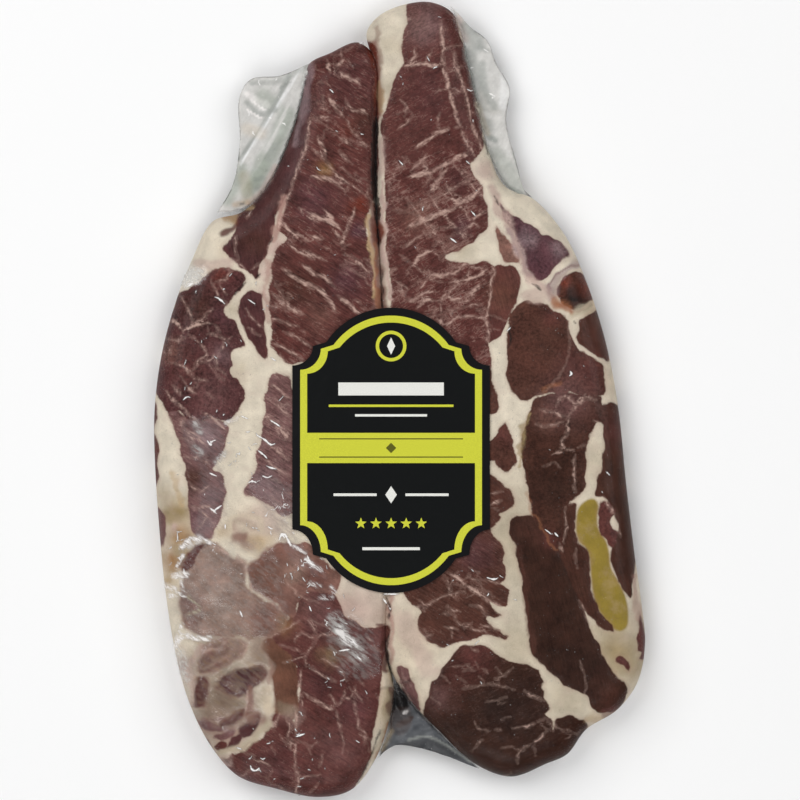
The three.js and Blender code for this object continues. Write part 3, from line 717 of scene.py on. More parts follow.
    (1.08, [(19, -94.4), (24, -95.6)]), (0.43, [(22, -96), (22, -99)]),
    (0.43, [(27, -94.4), (33, -96), (40, -99)]), (0.36, [(10, -99.4), (14, -98)]),
    (0.43, [(34, -93.6), (38, -95), (43, -96)]), (0.43, [(28, -74), (36, -75.4), (43, -76.4)]),
    (0.36, [(26, -94), (30, -92.6)]), (0.25, [(26, -120.4), (33, -119.2), (38, -118.6), (42, -119)]),
    (0.32, [(42, -119.4), (45, -120), (48, -121)]), (0.29, [(36, -112.4), (37, -114)]),
    (0.25, [(40.4, -115.8), (42, -115.6), (44.4, -115.2)]), (0.25, [(41.4, -115.4), (41.6, -117)]),
    (0.65, [(52, -121.4), (55.4, -123.4), (60.6, -125.4)]),
    (0.22, [(36, -126.4), (41, -124.8), (45, -124)]), (0.29, [(24, -115.4), (28.4, -118)]),
    (0.22, [(18, -115), (21, -118)]), (0.22, [(28, -111), (33, -112.4)]),
    (0.22, [(22, -111.4), (29, -110.6)]), (0.29, [(31.6, -134.4), (33.6, -137), (37, -138)]),
    (0.25, [(39.6, -138), (42.4, -137.4)]), (0.25, [(33, -144.6), (33.6, -142.8), (34.6, -142)]),
    (0.36, [(47.4, -136.6), (52, -136.6)]), (0.65, [(51, -136.6), (54.6, -136), (57, -134.6)]),
    (0.36, [(55, -135.4), (59, -133.8), (63, -132.6)]), (0.43, [(64.2, -133), (64.2, -137.8)]),
    (0.22, [(62.6, -137), (61.4, -139)]), (0.72, [(61.4, -139), (58.6, -141.4), (55.6, -143.2)]),
    (0.32, [(57, -142.4), (49.6, -147.8), (49.2, -152)]), (0.29, [(70, -137.4), (74, -140)]),
    (0.22, [(56, -145), (57, -148)]), (0.22, [(43, -133), (46, -132.6)]),
    (0.18, [(30, -103), (33, -105)]), (0.18, [(14, -124), (17, -127)]),
]

# Dark lines where meat, fat and liquid part, dark liquid and painted shade in the gaps: half width and
# line
CRACKS = [
    (1.6, [(-9.6, 118), (-10.2, 108), (-10.4, 96), (-10.2, 88), (-9.4, 82), (-8.8, 73)]),
    (0.5, [(-9, 76), (-8.6, 70), (-8.2, 64)]), (0.3, [(-7.4, 54), (-6.6, 38)]),
    (0.4, [(-5, -83), (-4, -87), (-4.6, -91)]),
    (0.45, [(-4.6, -98), (-5, -104), (-4.4, -110), (-3, -115)]),
    (0.5, [(-2.5, -116), (0, -122), (4, -129)]),
    (0.5, [(-39, 141), (-41, 128), (-46, 111), (-55, 91.5), (-63, 82.5), (-67, 78)]),
    (0.5, [(-52.8, 68), (-54.2, 65)]), (0.6, [(-58, 52.6), (-59.6, 51)]), (0.3, [(-69, 44), (-64, 49)]),
    (0.3, [(24, 160), (27.6, 150), (30, 138)]), (0.35, [(27, 153), (30.4, 137), (34, 121), (38, 108)]),
    (0.35, [(35.4, 110), (37.4, 103)]), (0.25, [(-17, -160), (-12, -150), (-8, -138)]),
    # Round the section of bone
    (0.4, [(55.6, 48.4), (59.4, 46)]), (0.4, [(73, 32.8), (73.6, 32.4)]),
    (0.3, [(46, 30), (46.6, 26), (45.4, 22)]), (0.4, [(40, 85), (41.4, 81.6)]),
]

# Soft stains that tint meat and fat: colour, strength, half width or softness, and line
BANDS = [
    (CLAY, 0.95, 2.4, [(-10.6, 80), (-9.4, 64), (-8.4, 50), (-7.4, 38)]),
    (BLOOD, 0.8, 1.6, [(-9, 80), (-8.8, 66)]),
    (TAN, 0.85, 0.8, [(-13.4, 77), (-12.4, 66), (-10.8, 56), (-9.6, 44)]),
    (AMBER, 0.6, 0.8, [(-10, 64), (-9, 50), (-8, 38)]),
    (BLUSH, 0.9, 0.8, [(-7, 92), (-6.4, 72), (-5.4, 54), (-4, 42)]),
    (RUSSET, 0.9, 1.4, [(-7.4, -94), (-6.4, -104), (-5.6, -113)]),
    (RUSSET, 0.8, 0.5, [(62.6, 44), (64, 49.6), (67.4, 54), (71.6, 56.6), (75.4, 57.4)]),
    (RUSSET, 0.7, 0.4, [(70.6, 36.6), (76, 37), (81, 39.6)]),
    (PINK, 0.8, 1.2, [(-48, 86), (-50.4, 76), (-52.6, 66)]),
    (PINK, 0.5, 1.0, [(-54.6, 58), (-55.6, 46), (-54.6, 32)]),
    (BLOOD, 0.8, 2.0, [(-11, 149), (-10.2, 141), (-9, 131), (-8.8, 120)]),
    (TAN, 0.6, 1.2, [(-8, 134), (-7.6, 121)]), (BLUSH, 0.7, 1.4, [(-7, 108), (-7.2, 95)]),
    (LILAC, 0.6, 2.0, [(-38, 146), (-38.6, 132), (-40.6, 118), (-43, 108)]),
    (STRAW, 0.35, 1.6, [(-4, -120), (-4.5, -130), (-7, -142), (-10, -150)]),
    (AMBER, 0.7, 1.0, [(-4.6, -136), (-6, -144), (-9, -150)]),
    (RUSSET, 0.7, 1.2, [(-3, -120), (-2.6, -134)]),
    (BLUSH, 0.75, 2.0, [(39, 88), (41, 82), (45, 74), (49.6, 64), (52.4, 55), (56, 49), (62, 46)]),
    (LILAC, 0.55, 1.4, [(46, 71), (50.6, 61), (54, 53)]),
    (LILAC, 0.6, 2.0, [(63, 43), (65, 49), (70, 54.6), (76, 58)]),
    (BLUSH, 0.6, 2.4, [(54, 43.8), (58, 43.6), (63, 43)]), (BONE, 0.8, 1.8, [(72, 35), (80, 40)]),
    (TAN, 0.5, 1.2, [(-95, -30), (-92, -38), (-90, -43)]), (BLUSH, 0.6, 2.4, [(-83, 57), (-72, 57)]),
    (RUSSET, 0.9, 1.3, [(-73.4, 69.4), (-69.4, 73), (-65, 78)]),
    (BLOOD, 0.9, 0.8, [(-75, 80), (-68, 80.4)]), (OCHRE, 0.8, 1.8, [(-73, 77.6), (-69.6, 76)]),
    (TAN, 0.6, 1.5, [(-70, 79), (-63, 81)]),
    (STRAW, 0.7, 0.9, [(54, -6), (51.6, -12), (50.6, -20), (51, -28)]),
    (AMBER, 0.35, 0.6, [(53.4, -39), (57, -48), (61, -55.4), (65.6, -62.4)]),
    (UMBER, 0.5, 1.4, [(50.4, -62), (52.6, -78), (54.4, -94), (57, -105)]),
    (AMBER, 0.4, 1.2, [(60.4, 3), (63.6, 5.4), (68, 7)]),
    (AMBER, 0.75, 1.8, [(65, 42.6), (67.6, 39), (71, 37)]), (TAN, 0.5, 2.0, [(80, -133), (86, -134)]),
    (RUSSET, 0.6, 1.5, [(86, -131.6), (92, -129)]), (BLUSH, 0.5, 4.0, [(2, -92), (8, -104), (12, -112)]),
    (PINK, 0.7, 1.2, [(-4, -82), (-3, -100), (-3.4, -110)]),
    (PINK, 0.5, 1.6, [(98, -74), (99.6, -84), (100, -92)]),
    (CLAY, 0.5, 1.2, [(-9, 156), (-8.6, 149), (-7.8, 141)]),
    (CLAY, 0.95, 2.2, [(-61.6, -122), (-61.6, -133)]),
    (IVORY, 0.6, 1.4, [
        (-71.6, -56), (-71.4, -51.6), (-68, -48.6), (-63.4, -47.6), (-58.4, -49.6), (-56.4, -54)]),
    (CLAY, 0.75, 2.6, [(-67.2, -57.4), (-64.6, -57.2)]),
    (DUSKY, 0.35, 1.6, [(-69, -52.4), (-64.6, -50.6), (-61, -53)]),
    (BLUSH, 0.7, 0.5, [(-64, -122), (-64, -131)]), (IVORY, 0.95, 2.4, [(-55.2, -122), (-55.2, -129)]),
    (DUSKY, 0.7, 1.8, [(-54, -117), (-54, -111)]),
    (ROSE, 0.6, 0.9, [(-82, -133), (-77, -133.6), (-73, -133)]),
    (HAZEL, 0.5, 3.4, [(-59, -101), (-57, -109)]),
    (BLUSH, 0.6, 1.6, [(-83, -103), (-87.6, -115), (-87, -127)]),
    (BONE, 0.9, 1.6, [(-75, -148.6), (-66, -144.8), (-59.6, -140.8), (-55, -134)]),
    (BLUSH, 0.5, 1.8, [(-82, -148), (-76, -151), (-70, -152)]),
    (RUSSET, 0.6, 1.1, [(-82, -109.6), (-77, -106.8), (-71.6, -105.4)]),
    (DARK, 0.55, 1.0, [(-74.8, -118.4), (-70.6, -115.2), (-65, -113.4), (-58.6, -113.4)]),
    (RUSSET, 0.6, 0.9, [(-82.6, -113), (-77, -110.6), (-72, -108.6)]),
    (BLUSH, 0.4, 0.6, [(-82, -107), (-72, -102)]), (HAZEL, 0.8, 2.6, [(-49.6, -128), (-44.6, -130.6)]),
    (UMBER, 0.7, 1.2, [(-5.6, -96), (-6, -102)]),
]

# Round patches of tint on the meat: place, radius, colour and strength
MEAT_SPOTS = [
    (-20, 134, 12, WINE, 0.6), (-22, 112, 4, BLOOD, 0.35), (-31, 96, 3, OCHRE, 0.7),
    (-16, 81, 4, BLOOD, 0.8), (-14, 88, 4, RUSSET, 0.6), (-16, 71, 4, PLUM, 0.9),
    (-14, 116, 6, DARK, 0.6), (-42, 46, 9, DARK, 0.6), (-22, 50, 7, PLUM, 0.7), (-36, 84, 9, PLUM, 0.6),
    (-34, 34, 6, CLAY, 0.5), (-42, 30, 8, RUSSET, 0.7), (-50, 84, 6, DARK, 0.4), (-60, 66, 8, DARK, 0.7),
    (-95, 20, 5, CLAY, 0.6), (-82, -52, 5, LILAC, 0.5), (-52, 118, 10, ROSE, 0.3),
    (-75, 52, 5, BLOOD, 0.4), (-82, 38, 9, DARK, 0.7), (-74, 36, 5, PLUM, 0.6), (-74, 18, 5, LILAC, 0.25),
    (-88, 12, 10, RUSSET, 0.6), (-78, 2, 8, ROSE, 0.5), (-80, -15, 6, LILAC, 0.5),
    (-86, -33, 6, DARK, 0.9), (-78, -40, 5, LILAC, 0.4), (-86, -50, 3, PLUM, 0.6),
    (-57, -36, 7, LILAC, 0.5), (-50, -12, 8, ROSE, 0.4), (-50, 24, 5, RUSSET, 0.6),
    (-87, -85, 5, ROSE, 0.7), (-86, -93, 4, ROSE, 0.5), (-44, -72, 6, DUSKY, 0.6),
    (-34, -74, 5, RUSSET, 0.5), (-56, -91, 6, CLAY, 0.6), (-75, -75, 8, BLUSH, 0.3),
    (-55, -92, 7, CLAY, 0.9), (-44.6, -131, 3, BLUSH, 0.7), (-36, -85, 6, WINE, 0.5),
    (-12, -110, 5, ROSE, 0.6), (-47, -94, 4, OCHRE, 0.4), (-15, -103, 8, ROSE, 0.6),
    (-29, -107, 4, STRAW, 0.4), (-33, -118, 8, WINE, 0.7), (-26, -146, 10, ROSE, 0.4),
    (-38, -86, 5, CLAY, 0.4), (-18, -128, 7, PLUM, 0.4), (-50, -152, 8, WINE, 0.6),
    (-62, -157, 6, ROSE, 0.5), (-58, -115, 3, CLAY, 0.6), (-68, -119.6, 2.4, DUSKY, 0.5),
    (-75, -104, 8, CLAY, 0.4), (10, 157, 7, LILAC, 0.5), (12, 134, 8, WINE, 0.5), (7, 76, 6, CLAY, 0.6),
    (24, 92, 6, WINE, 0.5), (8, 50, 9, RUSSET, 0.6), (28, 27, 8, RUSSET, 0.7), (26, 72, 4, PLUM, 0.6),
    (54, 67, 3.4, LILAC, 0.7), (67, 63, 3, LILAC, 0.6), (73, 43, 4, NIGHT, 1.0),
    (78, 47, 3.2, BLOOD, 0.8), (69.4, 48.6, 2.4, BLOOD, 0.8), (68.4, 40.4, 2.6, AMBER, 0.9),
    (80, 12, 7, RUSSET, 0.8), (62, -8, 5, CLAY, 0.4), (64, -36, 8, NIGHT, 0.35),
    (80, -112, 12, NIGHT, 0.2), (14, 123, 9, WINE, 0.5), (8, 157, 6, CLAY, 0.5), (72, 16, 6, WINE, 0.4),
    (70, 0, 10, ROSE, 0.7), (64, 35, 4, RUSSET, 0.6), (43, 44, 8, SEPIA, 0.5), (64, -32, 9, DEEP, 0.8),
    (90, -12, 7, RUSSET, 0.6), (84, -50, 4, RUSSET, 0.5), (95, -66, 8, DEEP, 0.5),
    (44, -14, 4, RUSSET, 0.7), (54, -54, 5, UMBER, 0.7), (63, -58, 4, RUSSET, 0.7),
    (32, -64, 8, PLUM, 0.5), (31, -107, 8, RUSSET, 1.0), (50, -128, 10, NIGHT, 0.3),
    (39, -128, 7, NIGHT, 0.35), (16, -124, 6, ROSE, 0.5), (24, -116, 6, RUSSET, 0.4),
    (88, -124, 7, UMBER, 0.7), (82, 6, 3, WINE, 0.3), (-34, -90, 9, ROSE, 0.5), (-57, -74, 8, SEPIA, 0.7),
]

# The same on the fat
FAT_SPOTS = [
    (-87, -85, 5, ROSE, 0.7), (-86, -93, 4, ROSE, 0.5), (-66, -57, 4.2, DUSKY, 0.6),
    (-62.6, -59.4, 3, CLAY, 0.6), (-54, -53, 7, BLUSH, 0.5), (-68.6, -54, 2, BLUSH, 0.8),
    (-64, -50, 7, IVORY, 0.7), (-58, -60, 5, TAN, 0.7), (-74, -55, 4, TAN, 0.5), (-50, 64, 5, BLUSH, 0.9),
    (-48, 82, 5, BLUSH, 0.9), (-55.4, 54, 4, BLUSH, 0.8), (-55, 42, 5, BLUSH, 0.7),
    (-92, -46, 6, STRAW, 1.0), (-91, -57, 6, OCHRE, 0.9), (-97, -49, 4, STRAW, 0.8),
    (-94.6, -68, 5, OCHRE, 1.0), (-97, -76, 4, TAN, 0.8), (-90, -64, 4, STRAW, 0.6),
    (-94, -53, 2.4, BLUSH, 0.9), (-87, 52, 5, SILVER, 0.7), (-100, -40, 5, STRAW, 0.4),
    (-72, 62, 5, IVORY, 0.6), (-70, 38, 4, BONE, 0.7), (-66, 12, 4, STRAW, 0.3),
    (-58, -48, 6, BLUSH, 0.5), (68.4, 40.4, 2.6, AMBER, 0.9), (36, 96, 5, BLUSH, 0.7),
    (27, 62, 5, BONE, 0.7), (54, 80, 7, CREAM, 0.6), (-3, 148, 6, BONE, 0.5), (-5, 130, 6, BONE, 0.6),
    # Broad changes of the fat's colour
    (-73, -125, 12, HAZEL, 1.0), (-90, -112, 5, LILAC, 0.7), (-77, -108, 10, HAZEL, 0.9),
    (-66, -131, 6, HAZEL, 0.7), (-57, -105, 9, DUSKY, 0.8), (-79, -131, 7, HAZEL, 0.8),
    (-70, -139, 8, DUSKY, 0.8), (-56.4, -134, 3.6, CLAY, 0.9), (-80, -137, 6, DUSKY, 0.8),
    (-22, -86, 6, PINK, 0.6), (-6, -90, 5, CLAY, 0.6), (-15, -88, 12, BLUSH, 0.75),
    (-4, -126, 12, TAN, 0.5), (6, -100, 15, IVORY, 0.8), (49, -58, 26, BONE, 0.95),
    (50, -102, 14, BONE, 0.8), (70, -125, 13, BONE, 0.8), (82, -26, 13, BONE, 0.6),
    (90, -98, 14, BONE, 0.9), (90, -106, 10, STRAW, 0.85), (99, -112, 9, STRAW, 0.5),
    (88, 8, 8, IVORY, 0.7), (80, 38, 6, TAN, 0.5),
]

# Yellow elastic band beside the outer muscle of the right slice
LIGAMENT = [
    (74, -49), (75, -45), (77.4, -42.4), (80, -41.2), (82, -41.6), (83.3, -44), (82.8, -49), (83.4, -54),
    (86.4, -58.6), (87.8, -64), (88.5, -70), (91, -74.6), (93.6, -79.4), (95.2, -84.6), (95.8, -90),
    (95, -95), (92, -96.5), (89.4, -95.4), (85.4, -91), (82.4, -86), (80.8, -80), (80, -73), (79.4, -66),
    (78, -62), (75, -59), (73.8, -54),
]

# What the film adds: milky haze, painted glare and free webs, with painted highlights and painted dark
# reflection and shade, as colour, strength, softness and outline
VEIL_AND_PAINTED_LIGHT_AREAS = [
    (MIST, 0.1, 3.0, [
        (-90, -60), (-76, -59), (-55, -60), (-50, -68), (-48, -80), (-46, -92), (-56, -98), (-80, -101),
        (-92, -98), (-93, -80)]),
    (LILAC, 0.14, 3.0, [(-90, -10), (-76, -8), (-73, -30), (-73, -56), (-84, -58), (-82, -34)]),
    (MIST, 0.06, 3.0, [(-56, -40), (-44, -36), (-40, -52), (-44, -60), (-54, -56)]),
    (LILAC, 0.16, 3.0, [(-62, -36), (-46, -34), (-40, -62), (-30, -74), (-44, -68), (-54, -48)]),
    (MIST, 0.13, 3.0, [(-28, -88), (-12, -95), (-9, -114), (-22, -116), (-30, -104)]),
    (TAN, 0.12, 4.0, [
        (-92, -102), (-78, -99), (-58, -98), (-55, -112), (-58, -132), (-76, -138), (-86, -130)]),
    (SILVER, 0.9, 1.0, [
        (-38, 143), (-50, 137), (-63, 136), (-68, 127.5), (-69, 108), (-73, 90), (-80, 80.6), (-66, 80.6),
        (-55, 91.5), (-46, 111), (-41, 128)]),
    (SILVER, 0.9, 1.2, [
        (21, 167), (31, 157), (38, 151), (42, 141), (47, 131), (45.5, 117), (50, 101), (55, 86), (47, 89),
        (40, 99), (36, 110), (33.4, 124), (28.6, 145), (23.6, 162)]),
    # Lower web, dark with painted reflection and shade
    (SLATE, 0.94, 1.0, [
        (-1, -118), (-2.4, -128), (-3, -138), (-8, -150), (-5, -148.5), (8, -147), (20, -150.5),
        (34, -156), (31, -152.8), (17, -139.8), (6, -128.5), (1, -120)]),
    # Dark corner, olive lens and grey step of the lower web, painted reflection and shade
    (NIGHT, 0.85, 1.2, [(-1, -118), (-2.4, -130), (1, -130), (5, -128)]),
    (STEEL, 0.36, 1.2, [
        (-7, -148), (-4, -141), (0, -136), (8, -132.6), (14, -138), (21, -144), (14, -141.6), (6, -141.4),
        (0, -145)]),
    (DEEP, 0.85, 0.7, [(-2, -137), (2, -134), (6.4, -132.6), (5, -135), (1, -137.4)]),
    (DEEP, 0.45, 1.4, [(-3, -130), (4, -129), (5, -137), (0, -141), (-4, -138)]),
    (NIGHT, 0.34, 1.0, [(-4, -144), (8, -143.2), (18, -143.6), (26, -150.6), (14, -148), (4, -146.4)]),
    # Painted highlight on the upper right web
    (WHITE, 0.4, 2.0, [(43, 138), (46, 131), (44.5, 122), (42.5, 122), (42.6, 132)]),
]

# Painted glare, stains, and painted light and shade on soft folds of the film: colour, strength, half
# width and line
VEIL_AND_PAINTED_LIGHT_BANDS = [
    # Painted glare and haze on the film over the left slice
    (MILK, 0.75, 0.9, [(-91, -62), (-87, -58), (-82, -58.4), (-79, -59.6)]),
    (MILK, 0.4, 2.0, [(-88, -60), (-84, -58)]), (MILK, 0.6, 0.8, [(-89.6, -64), (-93, -70)]),
    (MILK, 0.7, 1.4, [(-94, -73.4), (-89, -73)]), (MILK, 0.65, 1.2, [(-98, -77.6), (-94, -79)]),
    (MILK, 0.7, 1.0, [(-96, -82), (-92, -81)]), (MILK, 0.6, 0.7, [(-91, -76), (-89.6, -82)]),
    (MILK, 0.8, 1.1, [(-94, -103.4), (-90, -98.6), (-84, -99.6), (-79, -99.6)]),
    (MILK, 0.6, 0.9, [(-90.6, -94), (-93.4, -101)]), (SILVER, 0.45, 2.6, [(-91.6, -106), (-89, -116)]),
    (BONE, 0.45, 0.8, [(-88, -82), (-83, -87.4), (-88, -89.4)]),
    (MILK, 0.6, 0.7, [(-49, -48), (-46.6, -50.6)]), (MILK, 0.6, 0.8, [(-45, -60.4), (-39, -64)]),
    (MILK, 0.65, 0.9, [(-38.6, -66), (-36, -68.6), (-32.4, -71)]),
    (MILK, 0.65, 0.9, [(-37, -76.4), (-32.6, -77.6)]), (MILK, 0.7, 1.1, [(-28.4, -78.4), (-26.8, -80)]),
    (MILK, 0.5, 1.0, [(-33, -82.4), (-28, -82.4)]), (MILK, 0.6, 1.8, [(-25, -96), (-21, -101)]),
    (MILK, 0.6, 0.8, [(-20, -100), (-17.4, -102.4)]), (SILVER, 0.3, 3.6, [(-27, -92), (-17, -106)]),
    (SILVER, 0.4, 1.6, [(-85, -10), (-83, -13)]), (SILVER, 0.45, 1.4, [(-73, -22), (-76, -26)]),
    (SILVER, 0.35, 1.6, [(-85, -20), (-83, -22)]), (MILK, 0.5, 1.0, [(-72, -9.6), (-67.6, -7.6)]),
    (MILK, 0.5, 0.8, [(-90, 48), (-84, 49)]), (SILVER, 0.5, 3.0, [(-90, 50), (-84, 53)]),
    # Upper left web, with painted highlights and painted light and shade on its folds
    (MILK, 0.7, 1.2, [(-64, 128.5), (-55, 124)]), (MOSS, 0.5, 3.4, [(-57, 127.5), (-53, 124)]),
    (MOSS, 0.6, 3.4, [(-47, 120), (-54, 103), (-63, 88)]),
    (PEWTER, 0.8, 1.0, [(-46, 136), (-56, 117), (-67, 101)]),
    (WHITE, 0.7, 0.6, [(-41, 139.6), (-52, 122), (-66.6, 99)]),
    (SILVER, 0.9, 0.7, [(-42.6, 134), (-50, 116), (-60, 97)]),
    (PEWTER, 0.7, 1.1, [(-64, 125), (-58, 120), (-52, 122)]),
    (MILK, 0.9, 0.4, [(-64, 122), (-58, 118.4)]), (MILK, 0.9, 0.4, [(-63, 126.6), (-56, 121.4)]),
    (IVORY, 0.35, 2.6, [(-64, 114), (-58, 112)]), (STEEL, 0.4, 1.0, [(-60, 92.6), (-57.4, 93.4)]),
    (PEWTER, 0.8, 0.6, [(-50, 131), (-46, 133.6)]), (MOSS, 0.5, 3.2, [(-57, 101), (-60, 91)]),
    (MOSS, 0.55, 2.6, [(-66, 97), (-69, 90), (-72, 84)]), (PEWTER, 0.5, 1.4, [(-52, 107), (-55, 101)]),
    (OLIVE, 0.25, 2.6, [(-65, 94), (-63.6, 85)]), (PEWTER, 0.5, 1.0, [(-60, 88.6), (-57.6, 88)]),
    (BLUSH, 0.5, 1.2, [(-63, 82.6), (-57, 88.6), (-52, 98)]),
    (PEWTER, 0.5, 1.2, [(-39, 140), (-50, 134), (-62, 133)]), (TAN, 0.5, 1.2, [(-69, 82), (-63.6, 83)]),
    (SLATE, 0.7, 0.4, [(-67, 82), (-65, 82.8)]),
    # Upper right web, with painted highlights and painted light and shade on its facets
    (BLUSH, 0.5, 1.8, [(25, 160), (28, 152)]), (PEWTER, 0.7, 3.0, [(29, 157), (33, 149)]),
    (PEWTER, 0.6, 2.6, [(29.6, 146), (33, 132), (37, 114)]), (MIST, 0.7, 2.4, [(35, 128), (40, 121)]),
    (PEWTER, 0.6, 1.6, [(35, 141), (36, 131), (40, 123)]), (PEWTER, 0.9, 1.3, [(38, 110.4), (40.4, 109)]),
    (SILVER, 0.8, 1.4, [(36, 120), (42, 118)]), (PEWTER, 0.6, 0.8, [(41, 99), (46, 90), (52, 86.4)]),
    (PEWTER, 0.55, 0.6, [(48, 104), (52, 92), (53.6, 87)]),
    (MOSS, 0.35, 3.0, [(40, 104), (46, 97), (50, 89)]), (PEWTER, 0.5, 1.0, [(33.6, 148), (37, 147)]),
    (BONE, 0.5, 1.4, [(33, 124), (37, 112)]),
    # Lower web, with a painted glint
    (BLUSH, 0.5, 0.5, [(-2, -115), (2, -120), (5, -126)]), (MILK, 0.7, 0.7, [(2, -131.4), (3.4, -130.6)]),
    (PEWTER, 0.6, 0.6, [(4, -142.6), (12, -141.4), (21, -145.6), (30, -152)]),
    (STRAW, 0.4, 1.0, [(-3, -139), (-7, -147)]),
]

# Painted glints: bright highlights where the film's creases catch the light, as half width and line
GLINTS = [
    (0.35, [(-53.5, -8.6), (-51, -10), (-49.5, -11.2)]),
    (0.3, [(-59.5, -14.6), (-56, -16.6), (-53.5, -18.6), (-51.5, -18.2)]),
    (0.28, [(-59, -21), (-57, -22.4), (-55, -24.4)]),
    (0.28, [(-55.5, -27.4), (-53, -28.4), (-51, -28.8)]),
    (0.3, [(-57, -31.6), (-55, -32.4), (-53, -31.6)]),
    (0.3, [(-63, -34.6), (-61, -33.8), (-59.6, -34.6)]), (0.3, [(-90, 0), (-88.6, 1.4), (-87, 1)]),
    (0.4, [(-80, -17), (-78.6, -18.6), (-78, -17.2), (-76.6, -16.8)]), (0.3, [(-79, -45), (-76, -47.5)]),
    (0.3, [(-77, -46), (-74, -44)]), (0.35, [(-79, -30.5), (-76, -31.8)]),
    (0.35, [(-77, 43), (-75.5, 42.6), (-74, 41.4), (-72.6, 40)]), (0.35, [(-63, 42), (-60, 40)]),
    (0.35, [(-88.5, 47.4), (-86, 48.8)]), (0.3, [(-53.6, 17.8), (-51.4, 16.4)]),
    (0.25, [(-66, -6.6), (-63, -7.8)]),
    (0.4, [(-50, -58.4), (-49, -56), (-47.6, -56), (-46.6, -58), (-45, -61)]),
    (0.35, [(-38.2, -65), (-37, -68), (-35, -69)]), (0.3, [(-36.6, -88), (-37.4, -86)]),
    (0.35, [(-17.4, -107), (-15.6, -108.6)]), (0.3, [(-25, -104.6), (-20.6, -104)]),
    (0.4, [(-19.6, -100.4), (-17.6, -102)]), (0.4, [(-6.6, -82.8), (-5.2, -84.8)]),
    (0.35, [(-4, -86.6), (-3.4, -87.4)]), (0.35, [(-6.4, -80.9), (0, -80.9)]),
    (0.35, [(-29.8, -115.8), (-29, -116.6)]), (0.4, [(-43, -140.4), (-39.4, -139.2)]),
    (0.35, [(-62, -152.6), (-61.6, -154), (-60, -154.8), (-58.4, -153.6)]),
    (0.3, [(-57.8, -149.4), (-56.8, -150), (-55.8, -149.4)]), (0.4, [(65, -55.4), (66.4, -57)]),
    (0.25, [(61, -54), (63.6, -56)]), (0.35, [(36.6, -74), (39.4, -74.8), (41, -74.4)]),
    (0.35, [(15.6, 161), (17.6, 160)]), (0.4, [(35.6, 147.4), (37.4, 146.2)]),
    (0.35, [(28, 99.8), (29.4, 98.6)]), (0.35, [(-20, 149.4), (-15, 149.7)]),
    (0.4, [(-21.6, 147.4), (-20.8, 147)]), (0.3, [(71.4, 12), (72.2, 11), (71, 10)]),
    (0.35, [(86.6, -30), (88, -31.4)]), (0.3, [(84.6, -38), (85, -38.8)]), (0.3, [(30, 79), (32, 76.6)]),
    (0.3, [(21.4, 67.6), (24, 65.6)]), (0.35, [(-68, -145), (-65.6, -145.8)]),
    (0.3, [(-66.4, -88), (-65.4, -90.4)]),
]

# Where short painted glints lie at random: middle, spread and number
GLINT_SEED = 5
GLINT_FIELDS = (
    (-52, -20, 9, 26, 17), (-80, -14, 13, 30, 17), (-80, 30, 14, 18, 10), (-34, -76, 12, 10, 17),
    (-22, -104, 10, 14, 15), (-45, -150, 22, 12, 17), (-30, 60, 16, 40, 8), (-66, -140, 12, 8, 7),
    (12, 100, 16, 40, 9), (30, -78, 12, 12, 6), (30, -112, 18, 10, 5), (60, -10, 20, 30, 4),
    (-85, -60, 10, 8, 8), (-14, 130, 14, 14, 5), (36, -42, 6, 10, 3), (-60, 120, 8, 12, 7),
    (36, 135, 7, 14, 5), (-50, -47, 4, 6, 16), (-36, -66, 8, 4, 12), (-93, -66, 3, 16, 10),
)


def rgba(red, green, blue):
    return (*linear(red, green, blue), 1.0)


